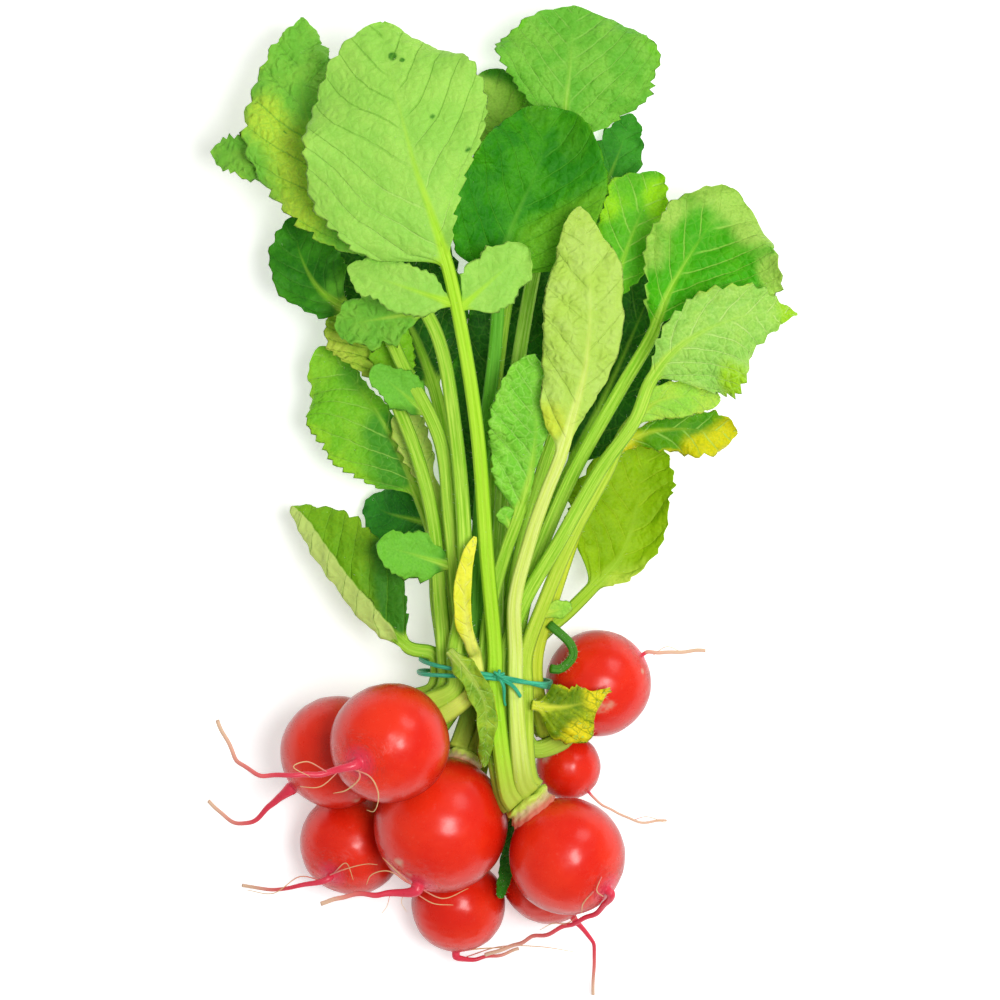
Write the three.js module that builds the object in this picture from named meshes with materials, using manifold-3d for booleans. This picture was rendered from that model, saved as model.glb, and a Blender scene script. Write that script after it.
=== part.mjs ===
// A bunch of nine red radishes with its leaves on, tied once and lying on its side.
//
// Millimetres. +Z is up from the table, +Y runs from the roots to the leaf tips.
// Every place is given on a plan: x to the right, y towards the leaf tips, and z above the table.
// The plan is drawn as seen from EYE_HEIGHT, so what lies higher is really a little nearer
// to the middle than the plan shows.
//
// Every leaf grows from the crown of one radish, passes the tie in a place of its own,
// and fans out above it, so each leaf is one piece from its crown to its tip.

import * as THREE from 'three';
import { mergeVertices } from 'three/addons/utils/BufferGeometryUtils.js';
import Module from 'manifold-3d';

const wasm = await Module();
wasm.setup();

const EYE_HEIGHT = 1500;
const GAP = 0.3;

// Leaves
const STEM_RADIUS = 1.95;
const STEM_RADIUS_AT_BLADE = 1.6;
const STEM_WIDENING = 1.2;
const RIB_RADIUS_AT_TIP = 0.5;
const BLADE_THICKNESS = 0.8;
const BLADE_GROWTH = 8;
const TOOTH_DEPTH = 1.7;
const STEM_STEP = 20;
const WIDE_BLADE = 11;
const CURL_SPAN = 0.3;
const CURL_STEPS = 24;
const LOBE_STEM_RADIUS = 1.1;
const LOBE_TOOTH_DEPTH = 1.1;
const LOBE_BELLY = 0.5;
const LOBE_POINTED = 0.5;

// The tie, and the places of the leaf stems in it, in rows from the top one down
const TIE_CENTRE = [-4.5, -52.5, 30];
const TIE_SLOT_ACROSS = 6.1;
const TIE_SLOT_UP = 5;
const TIE_ROW_STARTS = [-1.5, -2, -2.5, -2, -1.5];
const TIE_STRAIGHT_BELOW = 4;
const TIE_STRAIGHT_ABOVE = 6;
const TIE_HALF_WIDTH = 19.2;
const TIE_HALF_HEIGHT = 15;
const TIE_THICKNESS = 1;
const TIE_BAND = 1.6;
const TIE_LEAN = -0.14;
const TIE_TILT = 0.06;
const TIE_KNOT_ACROSS = 4;
const TIE_END_LENGTH = 9;

// Radishes
const CROWN_LENGTH = 4;
const CROWN_SINK = 1.5;
const CROWN_EXIT = 3;
const SEAT_SPACE = 0.65;
const TAIL_TIP_RADIUS = 0.4;
const TAIL_FLARE = 1.1;
const TAIL_FLARE_POWER = 7;
const ROOT_POINT = 0.06;
const ROOT_POINT_SPREAD = 0.42;

const COLOURS = {
  radish: 0xd0281c,
  crown: 0xb9c48a,
  leaf: 0x5fae35,
  leafDark: 0x2f7d1e,
  leafPale: 0xb4cf6a,
  leafYellow: 0xc9cf45,
  stem: 0x9cc84e,
  tie: 0x1f9a80,
};

// One radish: its centre and radius, the way its crown and its root point,
// how many leaf stems its crown carries, how thick its thin root is (a radius), and its plan.
const RADISHES = [
  {
    name: 'upper', centre: [-33, -72.9, 62], radius: 17.3,
    crown: [0.42, 0.3, -0.86], stems: 4, thick: 0.95,
    tail: [[-42, -78.6, 75], [-53.4, -81.9, 78], [-62.4, -82.2, 79], [-71.4, -82.5, 78]],
  },
  {
    name: 'left', centre: [-48.9, -75.6, 32], radius: 16.6,
    crown: [0.85, 0.52, 0], stems: 3, thick: 1.1,
    tail: [[-62.1, -86.1, 32], [-69, -92.1, 30], [-75.3, -96.9, 28], [-81, -96, 27]],
  },
  {
    name: 'front', centre: [-17.7, -97.5, 38], radius: 19.6,
    crown: [0.31, 0.84, -0.45], stems: 3, thick: 1.1,
    tail: [[-24, -114.3, 45], [-31.2, -118.2, 45], [-41.1, -117.9, 44], [-54, -121.5, 42]],
  },
  {
    name: 'lower_left', centre: [-44.4, -102.9, 15], radius: 15.4,
    crown: [0.5, 0.8, -0.2], stems: 2, thick: 0.65,
    tail: [[-50.7, -112.5, 26], [-58.5, -115.5, 27], [-65.4, -117, 25], [-72, -116.4, 22]],
  },
  {
    name: 'bottom', centre: [-12.6, -121.5, 13.6], radius: 14,
    crown: [0, 1, 0.05], stems: 2, thick: 0.65,
    tail: [[-13.2, -135.3, 13], [-8.4, -137.7, 11.5], [-3, -136.8, 10], [5.4, -134.4, 8]],
  },
  {
    name: 'right', centre: [20.1, -106.8, 46], radius: 16.9,
    crown: [-0.6, 0.8, 0.02], stems: 5, thick: 0.7,
    tail: [[32.1, -117, 54], [30.9, -122.4, 49], [22.5, -126.9, 43], [8.1, -132, 33], [-4.2, -136.5, 24]],
  },
  {
    name: 'right_under', centre: [14.7, -112.2, 14.2], radius: 14.6,
    crown: [-0.4, 0.9, 0.1], stems: 2, thick: 0.55,
    tail: [[23.1, -127.2, 12], [26.7, -131.1, 10], [27.3, -137.7, 7], [27.6, -148.5, 3]],
  },
  {
    name: 'far_right', centre: [29.4, -54.9, 15.3], radius: 15.7,
    crown: [-0.55, -0.62, 0.45], stems: 2, thick: 0.45,
    tail: [[42.6, -46.5, 17], [48, -45.9, 16.5], [54.6, -45.3, 15.5], [61.2, -45, 14]],
  },
  {
    name: 'small', centre: [20.4, -80.1, 9.4], radius: 9.7,
    crown: [-0.5, 0.8, 0.35], stems: 1, thick: 0.45,
    tail: [[27.6, -88.8, 10], [32, -92.4, 9], [38, -95.4, 7.5], [44, -96.3, 6]],
  },
];

// One leaf. Its stem starts on the crown of plant, at the angle seat round it, and passes the tie
// at slot (row from the top, place from the left). path then runs to the tip, and the blade starts
// at the point of path with the number bladeFrom.
//   left      the blade left of the rib: its widest half-width, how far from its base to its tip
//             that lies, and how pointed its ends are (0 is square, 1 is a plain arch)
//   right     the same on the right of the rib
//   fold      degrees that each half is folded up along the rib
//   bend      degrees that each half bends up on its way to the edge
//   curl      for a half that turns over: how far out of the rib its bend begins
//   wave      height of the edge's waves, and how many
//   lobes     small blades on the stem: distance below the blade, side, length,
//             widest half, angle from the stem, rise at the tip
const LEAVES = [
  {
    name: 'leaf_front', plant: 'right', seat: 126, slot: [0, 2], tint: 'leaf',
    path: [[-3.9, -18, 47], [-6.6, 18, 54], [-10.5, 45, 59], [-15.6, 69.6, 61.5],
      [-21.3, 87.9, 63], [-25.2, 99, 62.5], [-30, 117, 60], [-33.6, 131.1, 56],
      [-35.1, 143.1, 51]],
    bladeFrom: 3,
    left: [32, 0.45, 0.6], right: [26, 0.65, 0.8],
    fold: [4, 4], bend: [-14, -12], wave: [2, 3], teeth: 9,
    lobes: [[13, 1, 27, 8.5, 60, -2], [11, -1, 33, 7.5, 60, -7]],
  },
  {
    name: 'leaf_back_left', plant: 'upper', seat: 135, slot: [0, 0], tint: 'leafYellow',
    path: [[-11.4, -33, 44], [-10.5, -18, 46], [-13.5, 21, 49], [-19.5, 51, 49],
      [-33.6, 71.4, 46], [-44.4, 85.5, 45], [-52.5, 100.5, 42], [-58.5, 117, 38], [-60, 132, 33],
      [-59.4, 144.6, 27]],
    bladeFrom: 4,
    left: [20, 0.5, 0.9], right: [15, 0.55, 0.6],
    fold: [6, 0], bend: [-10, -10], wave: [2, 3], teeth: 8,
    lobes: [[-34, -1, 35, 7.5, 56, -6], [19, -1, 27, 8.5, 66, -5]],
  },
  {
    name: 'leaf_left_dark', plant: 'upper', seat: 305, slot: [1, 1], tint: 'leafDark',
    path: [[-12.6, -30, 38], [-15, -6, 42], [-18, 18, 44], [-28.5, 39, 42], [-36, 53, 37],
      [-45, 57, 31], [-54, 63, 26], [-60, 74, 22], [-61.5, 85, 19]],
    bladeFrom: 5,
    left: [11, 0.5, 0.6], right: [12, 0.45, 0.7],
    fold: [12, 12], bend: [10, 10], wave: [2, 3], teeth: 5,
    lobes: [[89, -1, 24, 7.5, 66, 5], [44, -1, 22, 6, 24, 2]],
  },
  {
    name: 'leaf_left_serrated', plant: 'left', seat: 270, slot: [3, 0], tint: 'leaf',
    path: [[-18.9, -30, 25.5], [-19.8, -12, 26.5], [-24, 0.6, 27], [-27.9, 10.2, 27],
      [-33.3, 20.1, 26.5], [-39, 29.1, 26], [-45.9, 38.1, 24], [-54.9, 45.3, 21]],
    bladeFrom: 2,
    left: [20, 0.55, 0.5], right: [4.5, 0.5, 0.3],
    fold: [3, -20], bend: [-12, -30], wave: [1.3, 2.5], teeth: 9,
    lobes: [],
  },
  {
    name: 'leaf_curled_pale', plant: 'right', seat: 54, slot: [0, 3], tint: 'leafPale',
    path: [[4.5, -30, 45], [9, -12, 50], [13.8, 2, 54], [18, 12.6, 57], [21.9, 25.5, 59],
      [25.2, 37.5, 60.5], [26.7, 49.5, 62], [27, 63, 62], [26.1, 75.6, 60], [23.7, 87.9, 56]],
    bladeFrom: 3,
    left: [14, 0.5, 0.6], right: [10, 0.6, 0.8],
    fold: [6, 6], bend: [-26, -34], wave: [1.6, 3], teeth: 6,
    lobes: [],
  },
  {
    name: 'leaf_top_fan', plant: 'front', seat: 30, slot: [2, 3], tint: 'leaf',
    path: [[-0.6, -18, 28], [2.4, 18, 27], [7.5, 54, 27], [13.5, 84, 29], [18.3, 105, 31],
      [19.5, 115.5, 32.5], [20.7, 127.5, 32.5], [21.6, 138, 30], [22.2, 148.2, 26]],
    bladeFrom: 4,
    left: [22, 0.65, 0.8], right: [27, 0.6, 0.6],
    fold: [4, 4], bend: [-8, -8], wave: [2, 3], teeth: 9,
    lobes: [],
  },
  {
    name: 'leaf_top_behind', plant: 'front', seat: 270, slot: [3, 2], tint: 'leafDark',
    path: [[-3.6, -12, 23], [-2.4, 24, 19], [2, 60, 16], [7.5, 85.5, 15], [4.5, 99, 14],
      [0.9, 112.5, 12.5], [-3.6, 129, 8]],
    bladeFrom: 3,
    left: [11, 0.5, 0.4], right: [14, 0.6, 0.6],
    fold: [4, 4], bend: [6, 6], wave: [1.3, 2.5], teeth: 5,
    lobes: [],
  },
  {
    name: 'leaf_cupped', plant: 'front', seat: 150, slot: [2, 2], tint: 'leafDark',
    path: [[-6.6, -18, 33], [-4.5, 18, 38], [-1.5, 45, 41], [0, 64.5, 42.5], [1.5, 75, 43.5],
      [5.4, 86.4, 44.5], [10.5, 97.5, 45], [13.8, 108, 44], [14.7, 118.2, 42]],
    bladeFrom: 3,
    left: [20, 0.5, 0.4], right: [24, 0.45, 0.5],
    fold: [6, 6], bend: [14, 14], wave: [1.8, 2.5], teeth: 7,
    lobes: [],
  },
  {
    name: 'leaf_top_right_dark', plant: 'bottom', seat: 0, slot: [4, 2], tint: 'leafDark',
    path: [[1.5, -18, 18], [9, 18, 15], [18, 51, 12.5], [25.5, 78, 11], [30.6, 91.5, 9.5],
      [35.4, 103.5, 8], [39.6, 115.8, 5]],
    bladeFrom: 3,
    left: [8, 0.55, 0.5], right: [8, 0.6, 0.6],
    fold: [5, 5], bend: [6, 6], wave: [1.2, 2.5], teeth: 4,
    lobes: [],
  },
  {
    name: 'leaf_right_upper', plant: 'right_under', seat: 135, slot: [3, 3], tint: 'leaf',
    path: [[4.5, -24, 26], [12, 6, 28], [22.5, 36, 30], [31.8, 57.6, 31], [36.3, 70.5, 31],
      [41.4, 84, 30], [47.1, 98.4, 26]],
    bladeFrom: 3,
    left: [13, 0.7, 0.7], right: [8, 0.55, 0.4],
    fold: [6, 6], bend: [4, 10], wave: [1.8, 2.5], teeth: 6,
    lobes: [],
  },
  {
    name: 'leaf_right_ruffled', plant: 'far_right', seat: 90, slot: [2, 4], tint: 'leafPale',
    via: [[9.6, -74.4, 31]],
    path: [[9, -24, 34], [21, 6, 38], [36, 33, 42], [45.6, 49.5, 43.5], [51, 63, 45],
      [59.1, 76.8, 45], [66.6, 87, 44], [71.4, 92.4, 42]],
    bladeFrom: 3,
    left: [14, 0.6, 0.7], right: [28, 0.65, 0.9],
    fold: [6, 10], bend: [10, 20], wave: [2.4, 3], teeth: 7,
    lobes: [],
  },
  {
    name: 'leaf_right_tip', plant: 'right', seat: 270, slot: [1, 3], tint: 'leafPale',
    path: [[7.5, -30, 41], [18, -12, 46], [30, 9, 51], [40.5, 24, 54.5], [45, 35.4, 56],
      [51, 43.5, 58], [60, 50.1, 59], [73.5, 55.2, 57.5], [89.1, 55.8, 52]],
    bladeFrom: 4,
    left: [11, 0.55, 0.8], right: [21, 0.4, 1.4],
    fold: [4, 4], bend: [-6, -12], wave: [1.8, 2.5], teeth: 7,
    lobes: [],
  },
  {
    name: 'leaf_right_lobe', plant: 'right', seat: 342, slot: [1, 4], tint: 'leafPale',
    path: [[13.5, -30, 39], [22.5, -9, 43], [31.5, 7.5, 46], [38.5, 22, 48], [47, 29.5, 49.5],
      [57, 31.2, 49], [66, 30.3, 46]],
    bladeFrom: 3,
    left: [5, 0.55, 0.6], right: [6.5, 0.55, 0.5],
    fold: [4, 4], bend: [-8, -8], wave: [1, 2], teeth: 4,
    lobes: [[62, 1, 10, 3.5, 50, 1]],
  },
  {
    name: 'leaf_right_yellow', plant: 'far_right', seat: 270, slot: [2, 5], tint: 'leafYellow',
    via: [[13.5, -68.4, 30]],
    path: [[15.6, -30, 31], [25, -3, 33], [31, 10.5, 34], [42, 19.5, 35.5], [54, 21.3, 36],
      [63.6, 20.4, 35], [71.1, 20.4, 33]],
    bladeFrom: 2,
    left: [7, 0.75, 0.8], right: [8, 0.7, 0.6],
    fold: [4, 4], bend: [6, -10], wave: [1.8, 3], teeth: 5,
    lobes: [],
  },
  {
    name: 'leaf_right_hanging', plant: 'small', seat: 0, slot: [3, 4], tint: 'leafYellow',
    path: [[13.5, -39.5, 24.5], [20.5, -33.5, 23.5], [27, -27, 22.5], [35.4, -18, 21],
      [40.2, -6, 19], [42, 5.4, 17], [46.5, 17.4, 14]],
    bladeFrom: 2,
    left: [21, 0.45, 0.5], right: [12, 0.6, 0.5],
    fold: [4, 4], bend: [6, 40], wave: [1, 2], teeth: 6,
    lobes: [],
  },
  {
    name: 'leaf_centre_crinkled', plant: 'right', seat: 198, slot: [1, 2], tint: 'leaf',
    path: [[-2.4, -30, 39], [1.5, -16, 43.5], [5.1, -6, 47], [8.7, 6, 50], [10.5, 18, 52],
      [10.8, 30, 53], [10.2, 43.8, 52]],
    bladeFrom: 2,
    left: [14, 0.55, 0.5], right: [6, 0.75, 1],
    fold: [4, 4], bend: [0, -8], wave: [1.4, 3], teeth: 6,
    lobes: [[4, -1, 8, 4, 40, 1]],
  },
  {
    name: 'leaf_lower_left', plant: 'left', seat: 165, slot: [2, 0], tint: 'leaf',
    path: [[-27, -44.5, 31], [-33, -39.5, 30], [-40.5, -32, 28.5], [-48, -23, 26.5],
      [-54.5, -13, 23], [-62.5, -2, 18]],
    bladeFrom: 0,
    left: [10, 0.45, 0.4], right: [17, 0.5, 0.7],
    fold: [0, 4], bend: [160, 10], curl: [0.2, 0],
    wave: [1, 2], teeth: 7,
    lobes: [],
  },
  {
    name: 'leaf_left_wilted', plant: 'upper', seat: 225, slot: [1, 0], tint: 'leafYellow',
    path: [[-18, -30, 36], [-20.1, -6, 38], [-25.5, 15, 38], [-33.6, 34.5, 35],
      [-39, 45, 31.5], [-44.4, 52.5, 28], [-48.5, 57, 24]],
    bladeFrom: 3,
    left: [10.5, 0.6, 0.5], right: [6.5, 0.35, 0.6],
    fold: [6, 6], bend: [14, 6], wave: [1, 2], teeth: 4,
    lobes: [[6, 1, 26, 6.5, 20, 1]],
  },
  {
    name: 'leaf_left_pale', plant: 'left', seat: 30, slot: [2, 1], tint: 'leafPale',
    via: [[-19.5, -62.7, 29.6]],
    path: [[-15.6, -30, 31], [-17.4, -12, 32.5], [-18.6, 0.6, 33], [-22.5, 10.5, 32.8],
      [-27, 21, 32], [-30, 30, 30.5]],
    bladeFrom: 2,
    left: [6, 0.55, 0.5], right: [5.5, 0.7, 0.8],
    fold: [6, 6], bend: [10, 10], wave: [1, 2], teeth: 4,
    lobes: [],
  },
  {
    name: 'leaf_left_under', plant: 'lower_left', seat: 45, slot: [3, 1], tint: 'leafDark',
    path: [[-12, -30, 23], [-14.5, -18, 20.5], [-16.5, -9, 18], [-25.5, -6, 13],
      [-34.5, -3.6, 8], [-40.2, 0, 5]],
    bladeFrom: 2,
    left: [11.5, 0.4, 0.6], right: [11, 0.6, 0.7],
    fold: [4, 4], bend: [4, 4], wave: [1, 2], teeth: 4,
    lobes: [],
  },
  {
    name: 'leaf_small_yellow', plant: 'upper', seat: 38, slot: [0, 1], tint: 'leafYellow',
    path: [[-8.5, -44, 45.6], [-10, -37, 49.5], [-10.6, -27, 52], [-9.6, -18, 53], [-7.5, -11, 52]],
    bladeFrom: 0,
    left: [3.5, 0.35, 0.5], right: [2, 0.5, 0.3],
    fold: [8, 8], bend: [10, 10], wave: [0, 1], teeth: 2,
    lobes: [],
  },
  {
    name: 'leaf_under_left', plant: 'lower_left', seat: 225, slot: [4, 0], tint: 'leafDark',
    path: [[-13.5, -27, 17], [-15, 6, 11], [-19.5, 33, 7], [-31, 60, 3.4], [-47, 84, 0.7]],
    bladeFrom: 2,
    left: [20, 0.5, 0.6], right: [22, 0.55, 0.6],
    fold: [2, 2], bend: [0, 0], wave: [0.4, 2], teeth: 7,
    lobes: [],
  },
  {
    name: 'leaf_under_centre', plant: 'bottom', seat: 180, slot: [4, 1], tint: 'leafDark',
    path: [[-6, -24, 15], [-5, -12, 12], [-4, 9, 8], [-2, 30, 5], [3, 55, 2.5], [8, 81, 0.7]],
    bladeFrom: 1,
    left: [14, 0.55, 0.6], right: [19, 0.5, 0.6],
    fold: [2, 2], bend: [0, 0], wave: [0.3, 2], teeth: 6,
    lobes: [],
  },
  {
    name: 'leaf_under_right', plant: 'right_under', seat: 315, slot: [4, 3], tint: 'leafDark',
    path: [[9, -21, 18], [21, 9, 9], [31, 30, 5], [43, 57, 2.6], [52, 78, 0.7]],
    bladeFrom: 1,
    left: [10, 0.55, 0.6], right: [17, 0.55, 0.6],
    fold: [2, 2], bend: [0, 0], wave: [0.3, 2], teeth: 6,
    lobes: [],
  },
];

// Pieces that don't pass the tie: the same terms as a leaf, with a stem radius of their own.
const LOOSE_LEAVES = [
  {
    name: 'withered_leaf', tint: 'leafYellow', radius: 1.3,
    path: [[9.5, -61.5, 43], [14, -62.2, 41.5], [20, -62, 39.5], [26.5, -60.3, 37], [33, -57, 35]],
    bladeFrom: 0,
    left: [6.5, 0.35, 1], right: [12, 0.45, 1.4],
    fold: [6, 6], bend: [-16, -20], wave: [1.2, 2], teeth: 4,
    lobes: [],
  },
  {
    name: 'hanging_shred', tint: 'leafYellow', radius: 1.2,
    path: [[-15, -45.5, 45], [-11.5, -49.5, 48.5], [-7.8, -54.5, 49.2], [-4.5, -61, 48],
      [-4.2, -71, 46.5], [-4.8, -80, 44]],
    bladeFrom: 0,
    left: [3.5, 0.4, 0.4], right: [4, 0.35, 0.6],
    fold: [8, 8], bend: [14, 14], wave: [0.4, 2], teeth: 2,
    lobes: [],
  },
  {
    name: 'narrow_leaf', tint: 'leafDark', radius: 1,
    path: [[5.1, -93, 37], [3.9, -99, 32], [2.4, -108, 28], [0, -119.4, 26]],
    bladeFrom: 0,
    left: [2.5, 0.5, 0.3], right: [2.5, 0.5, 0.3],
    fold: [8, 8], bend: [0, 0], wave: [0.8, 3], teeth: 4,
    lobes: [],
  },
  {
    name: 'bent_stalk', tint: 'leafDark', radius: 1.1,
    path: [[15.3, -50.6, 36], [18, -50.7, 34.5], [21.9, -46.8, 32.5], [21.3, -43.5, 32],
      [14.7, -37.2, 33.5]],
    bladeFrom: 4,
    left: [1, 0.5, 0], right: [1, 0.5, 0],
    fold: [0, 0], bend: [0, 0], wave: [0, 1], teeth: 0,
    lobes: [],
  },
];

const UP = new THREE.Vector3(0, 0, 1);

function fromPlan([x, y, z]) {
  const nearness = 1 - z / EYE_HEIGHT;
  return new THREE.Vector3(x * nearness, y * nearness, z);
}

function solidFrom(geometry) {
  const plain = geometry.clone();
  plain.deleteAttribute('normal');
  plain.deleteAttribute('uv');
  const merged = mergeVertices(plain, 1e-4);
  return new wasm.Manifold(new wasm.Mesh({
    numProp: 3,
    vertProperties: new Float32Array(merged.attributes.position.array),
    triVerts: new Uint32Array(merged.index.array),
  }));
}

function geometryFrom(solid) {
  const mesh = solid.getMesh();
  const geometry = new THREE.BufferGeometry();
  geometry.setAttribute('position', new THREE.BufferAttribute(mesh.vertProperties, 3));
  geometry.setIndex(new THREE.BufferAttribute(mesh.triVerts, 1));
  return geometry;
}

function meshOf(name, geometry, colour, roughness) {
  const material = new THREE.MeshStandardMaterial({ color: colour, roughness, metalness: 0 });
  const mesh = new THREE.Mesh(geometry, material);
  mesh.name = name;
  return mesh;
}

// Points spaced evenly by length on the part of a curve that starts at the share `from`.
function evenPoints(curve, from, to, count) {
  const DENSE = 120;
  const dense = [];
  const lengths = [0];
  for (let i = 0; i <= DENSE; i += 1) {
    dense.push(curve.getPoint(from + (to - from) * i / DENSE));
    if (i > 0) lengths.push(lengths[i - 1] + dense[i].distanceTo(dense[i - 1]));
  }
  const total = lengths[DENSE];
  const points = [];
  let k = 0;
  for (let i = 0; i <= count; i += 1) {
    const wanted = total * i / count;
    while (k < DENSE - 1 && lengths[k + 1] < wanted) k += 1;
    const share = (wanted - lengths[k]) / (lengths[k + 1] - lengths[k]);
    points.push(dense[k].clone().lerp(dense[k + 1], share));
  }
  return { points, total };
}

// Points at every given point of a curve up to the one numbered `last`, and between far ones.
function stemPoints(curve, last) {
  const all = curve.points.length - 1;
  const points = [];
  for (let k = 0; k < last; k += 1) {
    const long = curve.points[k].distanceTo(curve.points[k + 1]);
    const pieces = Math.max(Math.round(long / STEM_STEP), 1);
    for (let i = 0; i < pieces; i += 1) points.push(curve.getPoint((k + i / pieces) / all));
  }
  return points;
}

// The way along, across to the right and out of the face, at each point of a line.
function framesAlong(points, face, startWay) {
  return points.map((point, i) => {
    const before = points[Math.max(i - 1, 0)];
    const after = points[Math.min(i + 1, points.length - 1)];
    const along = i === 0 && startWay ? startWay : after.clone().sub(before).normalize();
    const across = along.clone().cross(face).normalize();
    return { point, along, across, out: across.clone().cross(along) };
  });
}

function smooth(value) {
  const share = Math.min(Math.max(value, 0), 1);
  return share * share * (3 - 2 * share);
}

// The half-width of one side of a blade, as an arch of a sine that is highest at the share belly.
function halfWidth([widest, belly, pointed], share) {
  const turn = Math.PI * share ** (Math.log(0.5) / Math.log(belly));
  return widest * Math.max(Math.sin(turn), 0) ** pointed;
}

// A point on one half of a blade, for a half of width 1: how far it is across and up,
// and the slope there, for a blade that folds at the rib and then bends or curls over.
function halfPlace(reach, fold, bend, curl) {
  const start = THREE.MathUtils.degToRad(fold);
  const whole = THREE.MathUtils.degToRad(bend);
  const slopeAt = (r) => start + whole * (curl > 0 ? smooth((r - curl) / CURL_SPAN) : r);
  let across = 0;
  let up = 0;
  for (let i = 0; i < CURL_STEPS; i += 1) {
    const slope = slopeAt(reach * (i + 0.5) / CURL_STEPS);
    across += Math.cos(slope) * reach / CURL_STEPS;
    up += Math.sin(slope) * reach / CURL_STEPS;
  }
  return { across, up, slope: slopeAt(reach) };
}

// A ring of a leaf: its upper points from left to right, then its lower ones back.
// The ring is round on the stem and a thin curved strip on the blade.
function leafRing(frame, columns, at) {
  const upper = [];
  const lower = [];
  const step = Math.PI / (columns + 1);
  const { point, across, out } = frame;
  for (let j = 0; j <= columns; j += 1) {
    const place = 2 * j / columns - 1;
    const side = Math.sign(place);
    const reach = Math.abs(place);
    const one = side < 0 ? 0 : 1;
    const half = Math.max(at.half[one] - (reach === 1 ? at.tooth : 0), 0);
    const spot = halfPlace(reach, at.fold[one] * Math.abs(side), at.bend[one], at.curl[one]);
    const normal = out.clone().multiplyScalar(Math.cos(spot.slope))
      .addScaledVector(across, -side * Math.sin(spot.slope));
    const middle = point.clone()
      .addScaledVector(across, side * half * spot.across)
      .addScaledVector(out, half * spot.up)
      .addScaledVector(normal, at.wave * reach * reach * (side < 0 ? -1 : 1));
    const thick = BLADE_THICKNESS / 2;
    const below = place === 0 ? Math.max(at.rib, thick) : thick;
    const bladeTop = middle.clone().addScaledVector(normal, thick);
    const bladeBottom = middle.clone().addScaledVector(normal, -below);
    const angle = Math.PI / 2 - place * columns / 2 * step;
    const sideways = across.clone().multiplyScalar(Math.cos(angle) * at.radius * at.widening);
    const upwards = out.clone().multiplyScalar(Math.sin(angle) * at.radius);
    const stemTop = point.clone().add(sideways).add(upwards);
    const stemBottom = point.clone().add(sideways).sub(upwards);
    upper.push(stemTop.lerp(bladeTop, at.flat));
    lower.push(stemBottom.lerp(bladeBottom, at.flat));
  }
  return { upper, lower };
}

// The closed skin of a row of rings, split into triangles alike above and below.
function skin(rings) {
  const columns = rings[0].upper.length;
  const positions = [];
  for (const ring of rings) {
    for (const point of [...ring.upper, ...ring.lower]) positions.push(point.x, point.y, point.z);
  }
  const index = [];
  const face = (...corners) => index.push(...corners);
  const top = (i, j) => i * 2 * columns + j;
  const bottom = (i, j) => i * 2 * columns + columns + j;
  const last = rings.length - 1;
  const edge = columns - 1;
  for (let i = 0; i < last; i += 1) {
    for (let j = 0; j < edge; j += 1) {
      face(top(i, j), top(i, j + 1), top(i + 1, j + 1));
      face(top(i, j), top(i + 1, j + 1), top(i + 1, j));
      face(bottom(i, j), bottom(i + 1, j + 1), bottom(i, j + 1));
      face(bottom(i, j), bottom(i + 1, j), bottom(i + 1, j + 1));
    }
    face(bottom(i, 0), top(i, 0), bottom(i + 1, 0));
    face(top(i, 0), top(i + 1, 0), bottom(i + 1, 0));
    face(top(i, edge), bottom(i, edge), bottom(i + 1, edge));
    face(top(i, edge), bottom(i + 1, edge), top(i + 1, edge));
  }
  for (let j = 0; j < edge; j += 1) {
    face(top(0, j), bottom(0, j), bottom(0, j + 1));
    face(top(0, j), bottom(0, j + 1), top(0, j + 1));
    face(top(last, j), bottom(last, j + 1), bottom(last, j));
    face(top(last, j), top(last, j + 1), bottom(last, j + 1));
  }
  const geometry = new THREE.BufferGeometry();
  geometry.setAttribute('position', new THREE.Float32BufferAttribute(positions, 3));
  geometry.setIndex(index);
  return geometry;
}

// A leaf's skin, from the line of its stem and rib.
function leafSkin(points, bladeFrom, leaf, stemRadius, toothDepth) {
  const curve = new THREE.CatmullRomCurve3(points, false, 'centripetal');
  const start = bladeFrom / (points.length - 1);
  const curl = leaf.curl ?? [0, 0];
  const wide = Math.max(leaf.left[0], leaf.right[0]) >= WIDE_BLADE;
  const columns = Math.max(...curl) > 0 ? 8 : wide ? 4 : 2;
  const rows = 2 * leaf.teeth;
  const stemLength = start > 0 ? evenPoints(curve, 0, start, 1).total : 0;
  const stem = stemPoints(curve, bladeFrom);
  const stemRows = stem.length;
  const blade = rows > 0 ? evenPoints(curve, start, 1, rows) : { points: [points.at(-1)], total: 0 };
  const line = [...stem, ...blade.points];
  const frames = framesAlong(line, UP, points[1].clone().sub(points[0]).normalize());
  const rings = frames.map((frame, i) => {
    const share = rows > 0 ? Math.max(i - stemRows, 0) / rows : 0;
    const grown = stemRows > 0 ? Math.min(i / stemRows, 1) : 1;
    const stemHere = THREE.MathUtils.lerp(stemRadius, leaf.radiusAtBlade ?? stemRadius, grown);
    const radius = THREE.MathUtils.lerp(stemHere, RIB_RADIUS_AT_TIP, share);
    const halves = [leaf.left, leaf.right].map((one) => Math.max(halfWidth(one, share), radius));
    const notch = i > stemRows && i < line.length - 1 && (i - stemRows) % 2 === 0;
    return leafRing(frame, columns, {
      half: halves,
      tooth: notch ? toothDepth * Math.min(share * 4, 1) : 0,
      fold: leaf.fold,
      bend: leaf.bend,
      curl,
      wave: leaf.wave[0] * Math.sin(2 * Math.PI * leaf.wave[1] * share),
      radius,
      widening: STEM_WIDENING,
      rib: radius,
      flat: smooth(share * blade.total / BLADE_GROWTH),
    });
  });
  return { geometry: skin(rings), curve, start, stemLength };
}

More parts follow.
